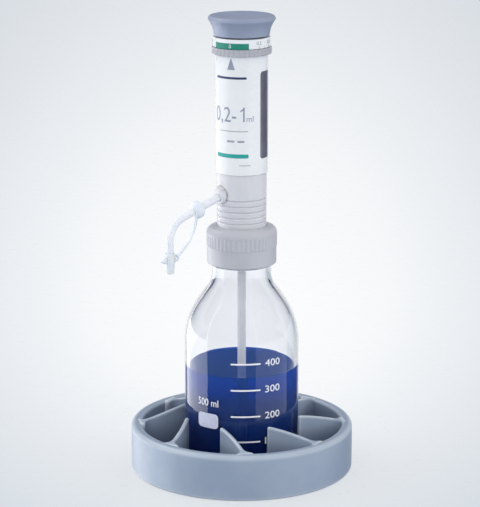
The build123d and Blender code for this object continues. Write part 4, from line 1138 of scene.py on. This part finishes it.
class DISPENSER_OT_stage(bpy.types.Operator):
    """Pale floor with a painted pool of light, two tall side panels, the room and the camera"""

    bl_idname = "dispenser.stage"
    bl_label = "Stage"

    def turned(self, tree, place, s):
        """Parts of a place or direction in a frame turned so that Y points away from the camera."""
        inputs = {"Vector": place, "Rotation": (0, 0, s.camera_azimuth)}
        local = add(tree, "ShaderNodeMapping", inputs, vector_type="TEXTURE").outputs[0]
        return add(tree, "ShaderNodeSeparateXYZ", {0: local}).outputs

    def floor(self, s):
        """Floor with a painted pool of light: its tone falls off round a pale pool.

        With v the depth behind the object and u the distance to its right, the pool is measured in
        u / (D + v) and h / (D + v), so that it lengthens away from the front as a lit sweep does.
        """
        made, tree, shader = material("pale_floor")
        place = object_place(tree)
        axes = self.turned(tree, place, s)

        def math(*step):
            return worked(tree, *step)

        reach = math("MAXIMUM", math("ADD", axes["Y"], s.camera_distance), 0.25)
        across = math("MULTIPLY", math("DIVIDE", axes["X"], reach), 4.3)
        down = math("SUBTRACT", math("DIVIDE", s.camera_height, reach), 0.272)
        lower = math("MULTIPLY", math("MAXIMUM", down, 0.0), 5.4)
        upper = math("MULTIPLY", math("MINIMUM", down, 0.0), 3.4)
        tall = math("ADD", lower, upper)
        away = math("SQRT", math("ADD", math("MULTIPLY", across, across), math("MULTIPLY", tall, tall)), 0.0)
        # Painted pool of light: the floor's tone is lightest round the object and falls off outwards
        ramp = add(tree, "ShaderNodeValToRGB", {0: away})
        points = [(0.0, (254, 254, 255)), (0.30, (246, 248, 250)), (0.55, (229, 233, 237))]
        points += [(0.85, (207, 215, 223)), (1.0, (197, 207, 216))]
        elements = ramp.color_ramp.elements
        while len(elements) < len(points):
            elements.new(0.5)
        for element, (position, tone) in zip(elements, points):
            element.position = position
            element.color = (*linear(*tone), 1)
        tone = ramp.outputs[0]
        tree.links.new(tone, shader.inputs["Base Color"])
        grain = noise(tree, place, 90.0, 4.0)
        tree.links.new(spread(tree, grain, 0.3, 0.7, 0.26, 0.34), shader.inputs["Roughness"])
        shader.inputs["Specular IOR Level"].default_value = 0.3
        glow = add(tree, "ShaderNodeEmission", {"Color": tone, "Strength": 1.0})
        path = add(tree, "ShaderNodeLightPath").outputs
        mirror = math("MAXIMUM", path["Is Glossy Ray"], path["Is Transmission Ray"])
        share = math("MULTIPLY", math("MAXIMUM", path["Is Camera Ray"], mirror), 0.7)
        both = add(tree, "ShaderNodeMixShader", {0: share, 1: shader.outputs[0], 2: glow.outputs[0]})
        tree.links.new(both.outputs[0], tree.nodes["Material Output"].inputs["Surface"])
        mesh = bpy.data.meshes.new("floor")
        size, under = 9.0, -0.0002
        corners = [(-size, -size, under), (size, -size, under), (size, size, under), (-size, size, under)]
        mesh.from_pydata(corners, [], [(0, 1, 2, 3)])
        mesh.materials.append(made)
        floor = bpy.data.objects.new("floor", mesh)
        bpy.context.scene.collection.objects.link(floor)
        floor.visible_glossy = False

    def panel(self, name, azimuth, width, low, high, radiance, seen):
        """Upright area light facing the axis from 1.25 m away; its power is pi times radiance times area.

        A panel that is seen shows in glass and gloss only, and the others only light the object.
        """
        away, tall = 1.25, high - low
        lamp = bpy.data.lights.new(name, "AREA")
        lamp.shape, lamp.size, lamp.size_y = "RECTANGLE", width, tall
        lamp.energy = pi * radiance * width * tall
        holder = bpy.data.objects.new(name, lamp)
        holder.location = (sin(azimuth) * away, -cos(azimuth) * away, (low + high) / 2)
        holder.rotation_euler = (pi / 2, 0, azimuth)
        holder.visible_camera = holder.visible_transmission = False
        holder.visible_glossy = seen
        holder.visible_diffuse = holder.visible_volume_scatter = not seen
        bpy.context.scene.collection.objects.link(holder)

    def room(self, s):
        """Pale room that lights the object evenly; glass and gloss show it dark but for its far wall.

        The far wall is pale up to a little above the horizon.
        """
        world = bpy.data.worlds.new("room")
        world.use_nodes = True
        tree = world.node_tree
        axes = self.turned(tree, add(tree, "ShaderNodeTexCoord").outputs["Generated"], s)
        far, near_floor = spread(tree, axes["Y"], 0.80, 0.92), spread(tree, axes["Z"], 0.16, 0.02)
        path = add(tree, "ShaderNodeLightPath").outputs
        dark, pale, backdrop = ((*linear(*tone), 1) for tone in ((52, 58, 88), (247, 249, 251), (244, 246, 248)))
        shown = mixed(tree, worked(tree, "MULTIPLY", far, near_floor), dark, pale)
        mirror = worked(tree, "MAXIMUM", path["Is Glossy Ray"], path["Is Transmission Ray"])
        seen = worked(tree, "MAXIMUM", mirror, path["Is Camera Ray"])
        tone = mixed(tree, seen, (1, 1, 1, 1), mixed(tree, path["Is Camera Ray"], shown, backdrop))
        sky = spread(tree, axes["Z"], 0.0, 1.0, 1.2 * s.world_light, 0.7 * s.world_light)
        strength = add(tree, "ShaderNodeMix", {0: seen, 2: sky, 3: 1.0}).outputs[0]
        background = tree.nodes["Background"].inputs
        tree.links.new(tone, background["Color"])
        tree.links.new(strength, background["Strength"])
        return world

    def execute(self, context):
        s = context.scene.stage_settings
        self.floor(s)
        turn = s.camera_azimuth
        left, right = turn - radians(109), turn + radians(65)
        self.panel("left_light", left, 1.7, 0.05, 1.45, s.panel_light, False)
        self.panel("right_light", right, 1.7, 0.05, 1.45, s.panel_light * 0.25, False)
        self.panel("left_glint", left, 1.85, -1.0, 2.0, 3.2, True)
        self.panel("right_glint", right, 1.9, -1.0, 1.45, 1.0, True)
        context.scene.world = self.room(s)

        eye = bpy.data.cameras.new("camera")
        eye.lens, eye.sensor_width, eye.sensor_fit = s.focal, 36.0, "AUTO"
        eye.clip_end = 60.0
        camera = bpy.data.objects.new("camera", eye)
        right = Vector((cos(turn), sin(turn), 0))
        back = Vector((sin(turn), -cos(turn), 0))
        camera.location = back * s.camera_distance - right * s.camera_aside + Vector((0, 0, s.camera_height))
        camera.rotation_euler = (pi / 2 - s.camera_pitch, 0, turn)
        context.scene.collection.objects.link(camera)
        context.scene.camera = camera
        context.scene.view_settings.view_transform = "Standard"
        return {"FINISHED"}


class DISPENSER_PT_panel(bpy.types.Panel):
    bl_idname = "DISPENSER_PT_panel"
    bl_label = "Dispenser"
    bl_space_type = "VIEW_3D"
    bl_region_type = "UI"
    bl_category = "Dispenser"

    def draw(self, context):
        for operator in OPERATORS:
            self.layout.operator(operator.bl_idname)
        for name, _ in SETTINGS:
            box = self.layout.box()
            group = getattr(context.scene, name)
            for key in group.__annotations__:
                box.prop(group, key)


SETTINGS = [
    ("stand_settings", StandSettings),
    ("bottle_settings", BottleSettings),
    ("dispenser_settings", DispenserSettings),
    ("stage_settings", StageSettings),
]
OPERATORS = [
    DISPENSER_OT_stage,
    DISPENSER_OT_stand,
    DISPENSER_OT_bottle,
    DISPENSER_OT_reagent,
    DISPENSER_OT_suction,
    DISPENSER_OT_collar,
    DISPENSER_OT_block,
    DISPENSER_OT_spout,
    DISPENSER_OT_sleeve,
    DISPENSER_OT_lock,
    DISPENSER_OT_dial,
    DISPENSER_OT_knob,
    DISPENSER_OT_inner,
]


def register():
    for name, group in SETTINGS:
        bpy.utils.register_class(group)
        setattr(bpy.types.Scene, name, PointerProperty(type=group))
    for made in [*OPERATORS, DISPENSER_PT_panel]:
        bpy.utils.register_class(made)


def unregister():
    for made in [DISPENSER_PT_panel, *OPERATORS[::-1]]:
        bpy.utils.unregister_class(made)
    for name, group in SETTINGS[::-1]:
        delattr(bpy.types.Scene, name)
        bpy.utils.unregister_class(group)


def main():
    register()
    for operator in OPERATORS:
        category, name = operator.bl_idname.split(".")
        if getattr(getattr(bpy.ops, category), name)() != {"FINISHED"}:
            raise RuntimeError(f"{operator.bl_idname} didn't finish")


if __name__ == "__main__":
    main()
